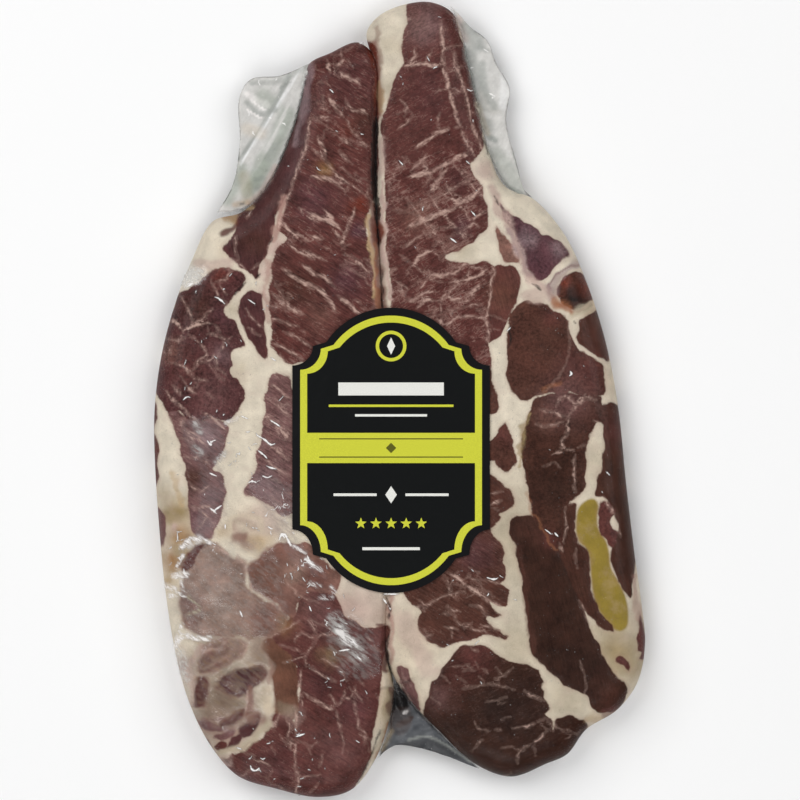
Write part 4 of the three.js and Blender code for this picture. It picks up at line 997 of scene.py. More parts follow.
class Shader:
    """Short names for the nodes that a material is built of."""

    def __init__(self, name):
        self.material = bpy.data.materials.new(name)
        self.material.use_nodes = True
        self.material.node_tree.nodes.clear()

    def node(self, kind, links=(), **values):
        """Adds a node, sets its values, and puts numbers or links into its sockets."""
        tree = self.material.node_tree
        node = tree.nodes.new(kind)
        for key, value in values.items():
            setattr(node, key, value)
        for socket, source in links:
            if hasattr(source, "links"):
                tree.links.new(source, node.inputs[socket])
            else:
                node.inputs[socket].default_value = source
        return node

    def number(self, name):
        """Number that the mesh holds under a name."""
        return self.node("ShaderNodeAttribute", attribute_name=name).outputs["Fac"]

    def vector(self, name):
        """Vector or colour that the mesh holds under a name."""
        return self.node("ShaderNodeAttribute", attribute_name=name).outputs["Vector"]

    def math(self, operation, *terms, clamp=False):
        links = list(enumerate(terms))
        return self.node("ShaderNodeMath", links, operation=operation, use_clamp=clamp).outputs[0]

    def plus(self, first, *others):
        for other in others:
            first = self.math("ADD", first, other)
        return first

    def times(self, first, *others):
        for other in others:
            first = self.math("MULTIPLY", first, other)
        return first

    def minus(self, a, b):
        return self.math("SUBTRACT", a, b)

    def larger(self, a, b):
        return self.math("MAXIMUM", a, b)

    def between(self, a, b, share):
        """Value at a share of the way from a to b."""
        return self.plus(a, self.times(share, self.minus(b, a)))

    def blend(self, a, b, share):
        """Sum of two values, the first weighed by share and the second by the rest."""
        return self.plus(self.times(a, share), self.times(b, 1 - share))

    def centred(self, noise):
        return self.minus(noise, 0.5)

    def ridge(self, noise):
        """How far a noise is from its middle value, which is nothing along winding lines."""
        return self.math("ABSOLUTE", self.centred(noise))

    def vectors(self, operation, a, b):
        return self.node("ShaderNodeVectorMath", [(0, a), (1, b)], operation=operation).outputs[0]

    def scaled(self, vector, factor):
        return self.node("ShaderNodeVectorMath", [(0, vector), (3, factor)], operation="SCALE").outputs[0]

    def ramp(self, value, low, high, at_low=0.0, at_high=1.0):
        """Smooth change from one value to another while the given one goes from low to high."""
        links = [(0, value), (1, low), (2, high), (3, at_low), (4, at_high)]
        return self.node("ShaderNodeMapRange", links, interpolation_type="SMOOTHSTEP").outputs[0]

    def mix(self, share, a, b):
        links = [(0, share), (6, a), (7, b)]
        return self.node("ShaderNodeMix", links, data_type="RGBA").outputs[2]

    def place(self, turn=0.0, stretch=(1, 1, 1)):
        """Position in millimetres, turned about the upright axis and then stretched."""
        spot = self.node("ShaderNodeNewGeometry").outputs["Position"]
        links = [(0, spot), (2, (0, 0, math.radians(-turn)))]
        turned = self.node("ShaderNodeMapping", links, vector_type="POINT").outputs[0]
        return self.vectors("MULTIPLY", turned, tuple(s / MM for s in stretch))

    def noise(self, where, scale, detail=3.0, rough=0.55, output="Fac"):
        links = [("Vector", where), ("Scale", scale), ("Detail", detail), ("Roughness", rough)]
        return self.node("ShaderNodeTexNoise", links).outputs[output]

    def bump(self, height, strength, distance):
        links = [("Height", height), ("Strength", strength), ("Distance", distance * MM)]
        return self.node("ShaderNodeBump", links).outputs[0]

    def surface(self, **sockets):
        """Principled shader, with spaces written as underscores in the names of its sockets."""
        links = [(name.replace("_", " "), value) for name, value in sockets.items()]
        return self.node("ShaderNodeBsdfPrincipled", links).outputs[0]

    def finish(self, surface):
        self.node("ShaderNodeOutputMaterial", [("Surface", surface)])
        return self.material


def past_line(s, name, wobble, warp=None):
    """How far a place lies outside the nearest line, whose width wavers, and that width."""
    offset = s.vector(name)
    if warp is not None:
        offset = s.vectors("ADD", offset, warp)
    length = s.node("ShaderNodeVectorMath", [(0, offset)], operation="LENGTH").outputs["Value"]
    width = s.times(s.number(name + "_width"), s.ramp(wobble, 0.38, 0.62, 0.55, 1.4))
    return s.minus(length, width), width


def fibre_noises(s, here, even):
    """Streaks of the meat and threads of fat, both drawn out along the run of the fibres."""
    weights = s.node("ShaderNodeSeparateXYZ", [(0, s.vector("grain"))]).outputs
    streak = even
    thread = s.noise(here, scale=0.3, rough=0.6)
    for weight, turn in zip(weights, FIBRE_TURNS):
        along = s.noise(s.place(turn, (0.14, 1.0, 1.0)), scale=1.3, detail=4.0, rough=0.6)
        strand = s.noise(s.place(turn, (0.16, 1.0, 0.5)), scale=0.6)
        streak = s.between(streak, along, weight)
        thread = s.between(thread, strand, weight)
    return streak, thread


def hatching(s):
    """Fine threads that cross in two directions."""
    lines = []
    for turn in (27, -58):
        fibre = s.noise(s.place(turn, (0.12, 1.0, 0.5)), scale=0.5, detail=1.5, rough=0.5)
        lines.append(s.ramp(s.ridge(fibre), 0.0, 0.02, 1.0, 0.0))
    return s.larger(*lines)


def meat_material():
    """Moist cut beef: fibres, marbling, sinews, fat, and dark partings with painted shade."""
    s = Shader("raw_beef")
    here = s.place()
    even = s.noise(here, scale=0.85)
    patchy = s.noise(here, scale=0.15, detail=4.0)
    fine = s.noise(here, scale=2.4, detail=2.0)
    marbling = s.number("marbling")
    blur = s.number("blur")
    streak, thread = fibre_noises(s, here, even)
    uneven = s.centred(patchy)
    grainy = s.centred(streak)

    # Border of meat and fat, ragged along the fibres and soft under the milky film
    swell = s.times(uneven, s.ramp(blur, 0.0, 1.0, 3.0, 4.5))
    ragged = s.times(grainy, s.ramp(marbling, 0.1, 0.6, 0.8, 1.7))
    depth = s.plus(s.number("depth"), s.plus(swell, ragged))
    meat_share = s.ramp(depth, s.ramp(blur, 0.0, 1.0, -0.35, -1.0), s.ramp(blur, 0.0, 1.0, 0.45, 1.0))

    # Meat: its own colour, lighter and darker along the fibres, with fine threads of fat
    tone = s.vector("tone")
    calm = s.ramp(blur, 0.0, 1.0, 1.0, 0.35)
    lively = s.times(s.ramp(marbling, 0.0, 0.7, 0.5, 1.0), calm)
    speckle = s.times(s.minus(s.plus(s.times(even, 0.6), s.times(fine, 0.5)), 0.55), calm)
    meat = s.scaled(tone, s.plus(1.0, s.times(uneven, 1.4), s.times(grainy, 1.9, lively), speckle))
    greyer = s.vectors("MULTIPLY", meat, (0.94, 1.1, 1.12))
    meat = s.mix(s.ramp(s.noise(here, scale=0.09), 0.42, 0.62, 0.0, 0.35), meat, greyer)
    pale = s.mix(0.42, tone, rgba(*VEIN_PINK))
    reach = s.times(s.ramp(marbling, 0.05, 1.0, 0.0, 0.014), s.ramp(patchy, 0.42, 0.6, 0.1, 1.8))
    fringe = s.times(s.ramp(depth, 0.0, 4.0, 0.014, 0.0), s.ramp(marbling, 0.1, 0.6))
    past_thread = s.minus(s.ridge(thread), s.plus(reach, fringe))
    threads = s.times(
        s.ramp(past_thread, -0.012, 0.01, 1.0, 0.0), s.ramp(marbling, 0.03, 0.4, 0.0, 0.42),
        s.ramp(even, 0.36, 0.56, 0.35, 1.0), calm)
    meat = s.mix(threads, meat, pale)
    crossed = s.times(hatching(s), s.ramp(marbling, 0.6, 0.85, 0.0, 0.55), s.ramp(patchy, 0.44, 0.56))
    meat = s.mix(crossed, meat, pale)
    meat = s.mix(s.ramp(depth, 0.2, 1.6, 0.25, 0.0), meat, s.mix(0.35, tone, rgba(*MEAT_RIM)))

    # Fat: its own colour, with a blush, faint vessels and a darker rim beside the meat
    fat_tone = s.vector("fat_tone")
    fat = s.scaled(fat_tone, s.plus(1.0, s.times(uneven, 0.7), s.times(s.centred(fine), 0.25)))
    blush = s.ramp(s.noise(here, scale=0.11, detail=4.0, rough=0.6), 0.5, 0.68, 0.0, 0.35)
    fat = s.mix(blush, fat, s.mix(0.5, fat_tone, rgba(*BLUSH)))
    vessel = s.ramp(s.ridge(s.noise(here, scale=0.16, detail=4.0, rough=0.6)), 0.0, 0.012, 1.0, 0.0)
    vessel = s.times(vessel, s.ramp(even, 0.45, 0.6, 0.0, 0.5))
    fat = s.mix(vessel, fat, s.mix(0.5, fat_tone, rgba(*ROSE)))
    fat = s.mix(s.ramp(depth, -1.6, 0.1, 0.0, 0.45), fat, s.mix(0.5, fat_tone, rgba(*FAT_RIM)))
    colour = s.mix(meat_share, fat, meat)

    # Sinews with a faint halo, broken along the fibres, and the dark partings, dark liquid with painted
    # shade
    jitter = s.noise(here, scale=0.25, detail=2.5, rough=0.5, output="Color")
    jitter = s.vectors("SUBTRACT", jitter, (0.5, 0.5, 0.5))
    warp = s.vectors("MULTIPLY", jitter, (3.5, 3.5, 0.0))
    past, width = past_line(s, "vein", s.blend(streak, even, 0.6), warp)
    edge = s.ramp(s.number("vein_width"), 0.1, 0.6, 0.22, 0.38)
    core = s.ramp(past, s.math("MULTIPLY_ADD", width, -1.0, -0.16), edge, 1.0, 0.0)
    halo = s.ramp(past, 0.0, 0.9, 1.0, 0.0)
    broken = s.times(
        s.ramp(s.noise(here, scale=0.22, detail=2.0), 0.4, 0.56, 0.5, 1.0),
        s.ramp(streak, 0.38, 0.56, 0.6, 1.0), s.ramp(s.number("vein_width"), 0.2, 0.8, 0.6, 1.0))
    sinews = s.larger(s.times(core, broken), s.times(halo, 0.12))
    colour = s.mix(s.times(sinews, meat_share), colour, s.mix(0.8, tone, rgba(*VEIN_PINK)))
    # Dark partings: dark liquid and painted shade in the gaps between meat, fat and slices
    slight = s.vectors("MULTIPLY", jitter, (2.5, 2.5, 0.0))
    gap = s.ramp(past_line(s, "crack", even, slight)[0], -0.42, 0.7, 1.0, 0.0)
    colour = s.mix(s.times(gap, 0.8), colour, rgba(*NIGHT))

    return s.finish(s.surface(
        Base_Color=colour, Roughness=s.ramp(meat_share, 0.0, 1.0, 0.55, 0.42),
        Normal=s.bump(s.blend(streak, fine, 0.6), 0.4, 0.4), Specular_IOR_Level=0.05))


def film_material():
    """Clear film with haze, free webs, painted glare, and small painted glints and sparkles."""
    s = Shader("clear_film")
    here = s.place()
    even = s.noise(here, scale=0.5, detail=4.0, rough=0.6)
    broad = s.noise(here, scale=0.14, rough=0.5)
    swept = s.noise(s.place(55, (0.12, 0.6, 1.0)), scale=0.6, rough=0.6)
    brushed = s.noise(s.place(-35, (0.35, 1.2, 1.0)), scale=0.6, detail=4.0, rough=0.7)
    loose = s.number("loose")
    uneven = s.between(s.ramp(brushed, 0.35, 0.65, 0.1, 1.5), s.ramp(even, 0.3, 0.7, 0.94, 1.05), loose)

    # Haze and painted glints lie on the upper and the lower face, and not round the edge
    normal = s.node("ShaderNodeNewGeometry").outputs["Normal"]
    rise = s.node("ShaderNodeSeparateXYZ", [(0, normal)]).outputs[2]
    level = s.larger(s.ramp(rise, 0.08, 0.3), s.ramp(rise, -0.95, -0.8, 1.0, 0.0))
    haze = s.times(s.math("MULTIPLY", s.number("cover"), uneven, clamp=True), level)
    glints = s.times(s.ramp(past_line(s, "glint", even)[0], -0.18, 0.3, 1.0, 0.0), level)
    # Painted sparkles: tiny bright dots that stand in for highlights on the wet film
    painted_sparkle = s.ramp(s.noise(here, scale=1.3, detail=1.0), 0.72, 0.8)
    painted_sparkle = s.times(painted_sparkle, s.ramp(broad, 0.45, 0.6, 0.1, 0.6))
    share = s.larger(haze, s.larger(s.times(glints, 0.9), painted_sparkle))

    # Painted light and shade along the folds of the free webs
    light = s.ramp(s.blend(swept, broad, 0.6), 0.35, 0.65, -0.08, 0.08)
    tint = s.scaled(s.vector("veil_and_painted_light"), s.plus(1.0, s.times(light, loose)))
    # The painted glints and sparkles are drawn in near-white glare
    colour = s.mix(s.larger(glints, painted_sparkle), tint, rgba(*GLARE))
    film = s.surface(
        Base_Color=s.mix(s.ramp(share, 0.02, 0.2), (1, 1, 1, 1), colour),
        Metallic=s.ramp(share, 0.02, 0.2, 1.0, 0.0), Roughness=s.ramp(share, 0.0, 0.6, 0.2, 0.42),
        Normal=s.bump(s.blend(even, swept, 0.6), 0.5, 0.4))
    clear = s.node("ShaderNodeBsdfTransparent").outputs[0]
    solid = s.math("ADD", 0.004, s.times(share, 0.996), clamp=True)
    return s.finish(s.node("ShaderNodeMixShader", [(0, solid), (1, clear), (2, film)]).outputs[0])


def label_material():
    """Satin print on a thin plastic label."""
    s = Shader("label_print")
    bright = s.ramp(s.noise(s.place(), scale=3.0, detail=2.0), 0.3, 0.7, 0.92, 1.08)
    return s.finish(s.surface(
        Base_Color=s.scaled(s.vector("print"), bright), Roughness=0.3,
        Normal=s.bump(s.noise(s.place(), scale=0.12, detail=2.0), 0.4, 0.6), Specular_IOR_Level=0.2))


def soft_mask(xy, line, closed, soft):
    """One on a band or in an area, falling to nothing over its softness."""
    reach = 1.5 * soft
    mask = np.zeros(len(xy))
    close = near(xy, line, reach)
    if not close.any():
        return mask
    if closed:
        mask[close] = smoothstep(depth_in(xy[close], line, reach), -soft / 2, soft / 2)
    else:
        mask[close] = 1 - smoothstep(nearest(xy[close], line, False, reach)[0], 0.4 * soft, reach)
    return mask


def nearest_lines(xy, rows, reach):
    """Vector to the nearest line, with a third part that keeps far points apart, and its half width."""
    offset = np.tile([reach, 0.0, 4 * reach], (len(xy), 1))
    width = np.full(len(xy), 0.4)
    best = np.full(len(xy), reach)
    for half, points in rows:
        line = spline(points, LINE_STEP, False)
        index = np.flatnonzero(near(xy, line, reach))
        if not len(index):
            continue
        gap, place, where = nearest(xy[index], line, False, reach)
        edge = gap - half
        closer = (edge < best[index]) & (gap < reach)
        chosen = index[closer]
        best[chosen] = edge[closer]
        taper = np.minimum(where, len(line) - 1 - where)[closer] * LINE_STEP
        width[chosen] = half * smoothstep(taper + 1.0, 0, 2.0 + 2.5 * half)
        lift = 4 * np.maximum(0, gap[closer] - 1.1)
        offset[chosen] = np.column_stack([(xy[index] - place)[closer], lift])
    return offset, width


# Grown veins: stride, sway in radians, shape and scale of their lengths, and half width
VEIN_STRIDE, VEIN_SWAY = (0.9, 1.8), 0.14
VEIN_LENGTH, VEIN_HALF = (3.0, 2.2), (0.1, 0.4)
# Degrees that they stray from the fibres, and the least marbling of a muscle that has them
FIBRE_SPREAD, LEAST_MARBLING = 13, 0.2
# Side branches: how long a thread has to be, and the chance of one at each stride
BRANCHED_LENGTH, BRANCH_CHANCE = 4, 0.12
# Turn of a branch in radians, and its length and half width as shares of the thread's
BRANCH_TURN, BRANCH_LENGTH, BRANCH_HALF = (0.4, 1.2), (0.25, 0.55), 0.7
# Random painted glints: heading and its spread, sway, stride and half width
GLINT_HEADING, GLINT_SWAY = (-0.6, 0.9), 0.7
GLINT_STRIDE, GLINT_HALF = (0.4, 1.1), (0.1, 0.24)


def ahead(spot, heading, distance):
    return spot + distance * np.array([math.cos(heading), math.sin(heading)])


def grow(rng, rows, spot, heading, length, half):
    """Adds a crooked thread and its side branches to rows of half width and line."""
    line = [spot]
    travelled = 0.0
    while travelled < length:
        stride = rng.uniform(*VEIN_STRIDE)
        heading += rng.normal(0, VEIN_SWAY)
        travelled += stride
        line.append(ahead(line[-1], heading, stride))
        if length > BRANCHED_LENGTH and rng.random() < BRANCH_CHANCE:
            side = rng.choice((-1, 1)) * rng.uniform(*BRANCH_TURN)
            reach = rng.uniform(*BRANCH_LENGTH) * length
            grow(rng, rows, line[-1], heading + side, reach, BRANCH_HALF * half)
    rows.append((half, line))


def grown_veins(seed):
    """Branching threads of fat that run with the fibres of the marbled muscles."""
    rng = np.random.default_rng(seed)
    rows = []
    for _, fibres, marbling, outline in MUSCLES:
        if marbling < LEAST_MARBLING:
            continue
        loop = spline(outline, GUIDE_STEP, True)
        low, high = loop.min(axis=0), loop.max(axis=0)
        courses = [turn for turn, weight in zip(FIBRE_TURNS, fibres) if weight]
        for _ in range(round(np.prod(high - low) * marbling * VEIN_DENSITY)):
            spot = rng.uniform(low, high)
            course = rng.choice(courses) if courses else rng.uniform(0, 180)
            heading = math.radians(course + rng.normal(0, FIBRE_SPREAD) + rng.choice((0, 180)))
            length = rng.gamma(*VEIN_LENGTH)
            half = rng.uniform(*VEIN_HALF)
            if inside(spot[None], loop)[0]:
                grow(rng, rows, spot, heading, length, half)
    return rows


def muscles_at(places):
    """Depth into the nearest muscle, its colour, the run of its fibres and its marbling."""
    far = smoothstep(abs(places[:, :1] - SEAM_X), 3, 14)
    xy = places + far * (wander(places, seed=31, size=7, reach=0.45) - places)
    depth = np.full(len(xy), -MUSCLE_REACH)
    tone = np.tile(linear(*MAROON), (len(xy), 1))
    grain = np.zeros((len(xy), 3))
    marbling = np.zeros(len(xy))
    for shade, fibres, flecks, points in MUSCLES:
        loop = spline(points, OUTLINE_STEP, True)
        index = np.flatnonzero(near(xy, loop, MUSCLE_REACH))
        if not len(index):
            continue
        found = depth_in(xy[index], loop, MUSCLE_REACH)
        deeper = found > depth[index]
        chosen = index[deeper]
        depth[chosen] = found[deeper]
        tone[chosen] = linear(*shade)
        grain[chosen] = fibres
        marbling[chosen] = flecks
    return depth, tone, grain, marbling


def meat_relief(depth):
    """Muscles stand a little proud of the seams between them."""
    dip = SEAM_DIP * np.exp(-((depth / SEAM_WIDTH) ** 2))
    return MUSCLE_RISE * smoothstep(depth, *MUSCLE_RUN) - dip


def looks_from(points):
    """Places whose looks are taken: on the underside they drift away from those above."""
    drop = smoothstep(EDGE_HEIGHT - points[:, 2], 0, 5)[:, None]
    xy = points[:, :2]
    return xy + drop * (0.95 * wander(xy, seed=51, size=38, reach=7.0) - xy)


def meat_attributes(points):
    """Named values at the points of a slice, for its material."""
    xy = looks_from(points)
    x, y = xy[:, 0], xy[:, 1]
    depth, tone, grain, marbling = muscles_at(xy)
    fat_tone = np.tile(linear(*CREAM), (len(xy), 1))
    moved = wander(xy, seed=41, size=9, reach=1.0)
    moved = wander(moved, seed=43, size=3.6, reach=0.3)
    for colours, spots in ((tone, MEAT_SPOTS), (fat_tone, FAT_SPOTS)):
        for sx, sy, radius, shade, strength in spots:
            share = strength * np.exp(-((moved - (sx, sy)) ** 2).sum(axis=1) / radius**2)
            colours += share[:, None] * (linear(*shade) - colours)
    for shade, strength, soft, line in BANDS:
        share = strength * soft_mask(moved, spline(line, GUIDE_STEP, False), False, soft)
        for colours in (tone, fat_tone):
            colours += share[:, None] * (linear(*shade) - colours)
    strip = depth_in(xy, spline(LIGAMENT, OUTLINE_STEP, True), 3.0)
    fat_tone += smoothstep(strip, -0.5, 0.5)[:, None] * (linear(*OLIVE) - fat_tone)
    blur = smoothstep(BLUR_RIGHT - x, *BLUR_SOFTNESS) * smoothstep(BLUR_TOP - y, *BLUR_SOFTNESS)
    blur = blur * smoothstep(y, *BLUR_FOOT)
    vein, vein_width = nearest_lines(xy, VEINS + grown_veins(VEIN_SEED), LINE_REACH)
    crack, crack_width = nearest_lines(xy, CRACKS, LINE_REACH)
    return (
        ("depth", depth), ("tone", tone), ("fat_tone", fat_tone), ("grain", grain),
        ("marbling", marbling), ("blur", blur), ("vein", vein), ("vein_width", vein_width),
        ("crack", crack), ("crack_width", crack_width),
    )


def make_slice(name, outline, material):
    """One slice of beef: flat back, rounded edge and a top with sunken seams."""
    edge = spline(outline, EDGE_STEP, True)
    loop = edge + loop_normals(edge) * MEAT_INSET

    def top(xy, rise):
        uneven = 0.08 * waves(xy, seed=3, size=7)
        height = crown(xy) - MEAT_INSET + meat_relief(muscles_at(xy)[0]) + uneven
        return EDGE_HEIGHT + (height - EDGE_HEIGHT) * rise

    def bottom(xy, rise):
        height = MEAT_FLOOR - 0.5 * meat_relief(muscles_at(xy)[0])
        return EDGE_HEIGHT + (height - EDGE_HEIGHT) * rise

    points, faces, _ = shell(loop, edge_radius(edge), MEAT_STEPS, top, bottom)
    return make_piece(name, points, faces, material, meat_attributes(points))


def quarter_round(share):
    """Height of a quarter round at a share of its run."""
    return np.sqrt(1 - (1 - np.clip(share, 0, 1)) ** 2)


def fullness(xy, rims, swing):
    """How far the film is pushed out by the meat: 0 on the free webs and 1 on the steaks."""
    left_neck = LEFT_SIDE[:1] + LEFT_NECK[::-1] + LEFT_TOP[::-1]
    left_seam = LEFT_SIDE[-2:] + LEFT_SEAM + LEFT_TOP[:1]
    right_neck = RIGHT_SIDE[-1:] + RIGHT_NECK + RIGHT_TOP[:1]
    right_seam = RIGHT_TOP[-1:] + RIGHT_SEAM + RIGHT_SIDE[:1]
    neck_reach = swing * SHOULDER_RADIUS
    low, high = FILM_SEAM_ENDS
    beside = (xy[:, 1] > low) & (xy[:, 1] < high)
    seam_radius = np.where(beside, FILM_SEAM_RADIUS, FILM_END_RADIUS)
    parts = []
    gaps = []
    for outline, lines in zip(STEAKS, ((left_neck, left_seam), (right_neck, right_seam))):
        sign = np.where(inside(xy, spline(outline, GUIDE_STEP, True)), 1.0, -1.0)
        to_neck, to_seam = (sign * nearest(xy, spline(line, GUIDE_STEP, False), False, RIM_REACH)[0]
                            for line in lines)
        slack = np.clip(SLACK_SHARE * (rims - to_neck), 0, SLACK_MOST)
        ramped = np.clip((to_neck + slack) / (neck_reach + slack), 0, 1)
        at_neck = np.maximum(ramped * (2 - ramped), quarter_round(to_neck / neck_reach))
        parts.append(np.minimum(at_neck, quarter_round(to_seam / seam_radius)))
        gaps.append(-to_seam)
    bridge = BRIDGE * (1 - smoothstep(np.maximum(*gaps), *BRIDGE_RUN))
    return np.maximum(np.maximum(*parts), bridge)


def film_relief(xy, loose):
    """Small unevenness of the film, larger where it lies free."""
    taut = 0.1 * waves(xy, seed=11, size=9) + 0.06 * waves(xy, seed=12, size=4)
    free = 0.55 * waves(xy, seed=13, size=13) + 0.25 * waves(xy, seed=14, size=6)
    return np.maximum(taut, -0.12) * (1 - loose) + free * loose


def random_glints(seed):
    """Short painted glints, thickest on the left slice, where the film is least tight."""
    rng = np.random.default_rng(seed)
    rows = []
    for x, y, spread_x, spread_y, count in GLINT_FIELDS:
        for _ in range(count):
            line = [rng.normal((x, y), (spread_x, spread_y))]
            heading = rng.normal(*GLINT_HEADING)
            for _ in range(rng.integers(1, 4)):
                heading += rng.normal(0, GLINT_SWAY)
                line.append(ahead(line[-1], heading, rng.uniform(*GLINT_STRIDE)))
            rows.append((rng.uniform(*GLINT_HALF), line))
    return rows


def film_looks(xy, shown):
    """Colour and cover of the film's haze and painted light, and its painted glints, at each point."""
    cover = np.zeros(len(xy))
    veil_and_painted_light = np.zeros((len(xy), 3))
    for rows, closed in ((VEIL_AND_PAINTED_LIGHT_AREAS, True), (VEIL_AND_PAINTED_LIGHT_BANDS, False)):
        for shade, strength, soft, outline in rows:
            share = strength * soft_mask(xy, spline(outline, OUTLINE_STEP, closed), closed, soft)
            veil_and_painted_light = veil_and_painted_light * (1 - share)[:, None] + share[:, None] * linear(*shade)
            cover = cover + (1 - cover) * share
    veil_and_painted_light /= np.maximum(cover, 1e-4)[:, None]
    glint, glint_width = nearest_lines(xy, GLINTS + random_glints(GLINT_SEED), GLINT_REACH)
    # The back has no painted glints: a third part this large keeps it clear of every line
    glint[~shown, 2] = 9.0
    return ("veil_and_painted_light", veil_and_painted_light), ("cover", cover), ("glint", glint), ("glint_width", glint_width)


def make_film():
    """Closed clear film over both slices, with flat webs where it has no meat in it."""
    edge = spline(PACK_EDGE, EDGE_STEP, True)
    gaps = [nearest(edge, spline(steak, EDGE_STEP, True), True, WEB_REACH)[0] for steak in STEAKS]
    away = smoothstep(np.minimum(*gaps), 0.4, 4.0)
    radii = SHOULDER_RADIUS + (WEB_RADIUS - SHOULDER_RADIUS) * away
    pinch = (abs(edge[:, 0] - SEAM_X) < PINCH_HALF_WIDTH) & (edge[:, 1] < PINCH_TOP)
    radii = np.where(pinch, np.minimum(radii, FILM_END_RADIUS), radii)
    for _ in range(6):
        radii = (np.roll(radii, 1) + 2 * radii + np.roll(radii, -1)) / 4

    def looseness(full):
        return 1 - smoothstep(full, *LOOSE_RUN)

    def top(xy, rise):
        full = fullness(xy, nearest(xy, edge, True, RIM_REACH)[0], 1.0)
        meat = crown(xy) + 0.6 * meat_relief(muscles_at(xy)[0]) + FILM_GAP
        web = EDGE_HEIGHT + WEB_GAP
        level = web + (meat - web) * full + film_relief(xy, looseness(full))
        return EDGE_HEIGHT + (level - EDGE_HEIGHT) * rise

    def bottom(xy, rise):
        full = fullness(xy, nearest(xy, edge, True, RIM_REACH)[0], BACK_SHARE)
        loose = looseness(full)
        web = EDGE_HEIGHT - WEB_GAP
        level = web + (FILM_FLOOR - web) * full + film_relief(xy, loose) * loose
        return EDGE_HEIGHT + (level - EDGE_HEIGHT) * rise

    points, faces, shown = shell(edge, radii, FILM_STEPS, top, bottom)
    xy = points[:, :2]
    full = fullness(xy, nearest(xy, edge, True, RIM_REACH)[0], 1.0)
    attributes = (("loose", looseness(full)), *film_looks(xy, shown))
    return make_piece("clear_film", points, faces, film_material(), attributes)


# Label: outline and print
LABEL_X = -3.3
LABEL_TOP, LABEL_BOTTOM = 38.5, -80.5
LABEL_HALF_WIDTH = 41.2
LABEL_CORNERS = (14.4, -54)
LABEL_NOTCH = 8.6
LABEL_SHOULDER = 1.6
LABEL_CHORD, LABEL_RISE = 27, 14.4
LABEL_FLOOR, LABEL_FACE = 0.14, 0.52
# How much of an inset the chord, the rise and the corners give way by
CHORD_SHARE, RISE_SHARE, CORNER_SHARE = 0.9, 0.65, 0.55
NOTCH_STEPS, CAP_STEPS = 12, 24
# Insets of the light frame and of the dark fields inside it
FRAME_INSET, FIELD_INSET = 3.3, 6.2
BAND_TOP, BAND_BOTTOM = -13.7, -26.3


def label_side(inset, end, corner):
    """Right-hand points of one end of the label's outline, from its corner to the middle of its end."""
    sign = math.copysign(1, end - corner)
    chord = LABEL_CHORD - CHORD_SHARE * inset
    rise = LABEL_RISE - RISE_SHARE * inset
    tip = end - sign * inset
    radius = (chord**2 + rise**2) / (2 * rise)
    notch = tip - sign * (rise + LABEL_SHOULDER)
    low = corner - sign * CORNER_SHARE * inset
    points = []
    for k in range(NOTCH_STEPS + 1):
        angle = math.pi / 2 * (1 - k / NOTCH_STEPS)
        points.append((LABEL_HALF_WIDTH - inset - LABEL_NOTCH * math.cos(angle),
                       notch + (low - notch) * math.sin(angle)))
    for k in range(CAP_STEPS):
        angle = math.asin(chord / radius) * (1 - k / CAP_STEPS)
        points.append((radius * math.sin(angle), tip - sign * radius * (1 - math.cos(angle))))
    return points


def label_loop(inset):
    """Anticlockwise outline of the label, set in by a distance."""
    upper = label_side(inset, LABEL_TOP, LABEL_CORNERS[0])
    lower = label_side(inset, LABEL_BOTTOM, LABEL_CORNERS[1])
    right = lower[::-1] + upper
    return np.array([(LABEL_X + x, y) for x, y in right] + [(LABEL_X - x, y) for x, y in right[::-1]])


def dense(loop, step):
    """Same straight-sided loop with points at most step apart."""
    parts = []
    for a, b in zip(loop, np.roll(loop, -1, axis=0)):
        length = np.linalg.norm(b - a)
        count = max(1, math.ceil(length / step))
        if length > 1e-6:
            parts.append(a + (b - a) * (np.arange(count) / count)[:, None])
    return np.vstack(parts)


def field(edge, sign):
    """Dark field of the label beyond one edge of its light band: 1 for above and -1 for below."""
    loop = label_loop(FIELD_INSET)
    kept = loop[sign * (loop[:, 1] - edge) > 0]
    half = LABEL_HALF_WIDTH - FIELD_INSET
    right, left = kept[kept[:, 0] > LABEL_X], kept[kept[:, 0] <= LABEL_X]
    rest = (right, left) if sign > 0 else (left, right)
    return np.vstack([[(LABEL_X - sign * half, edge), (LABEL_X + sign * half, edge)], *rest])


def bar(x, y, width, height):
    corners = ((-1, -1), (1, -1), (1, 1), (-1, 1))
    return np.array([(x + i * width / 2, y + j * height / 2) for i, j in corners])


def star(x, y, outer, inner, tips):
    """Star with a number of tips, a diamond for two, or a disc where both radii are the same."""
    angles = math.pi / 2 + math.pi * np.arange(2 * tips) / tips
    reach = np.where(np.arange(2 * tips) % 2 == 0, outer, inner)
    return np.column_stack([x + reach * np.cos(angles), y + reach * np.sin(angles)])


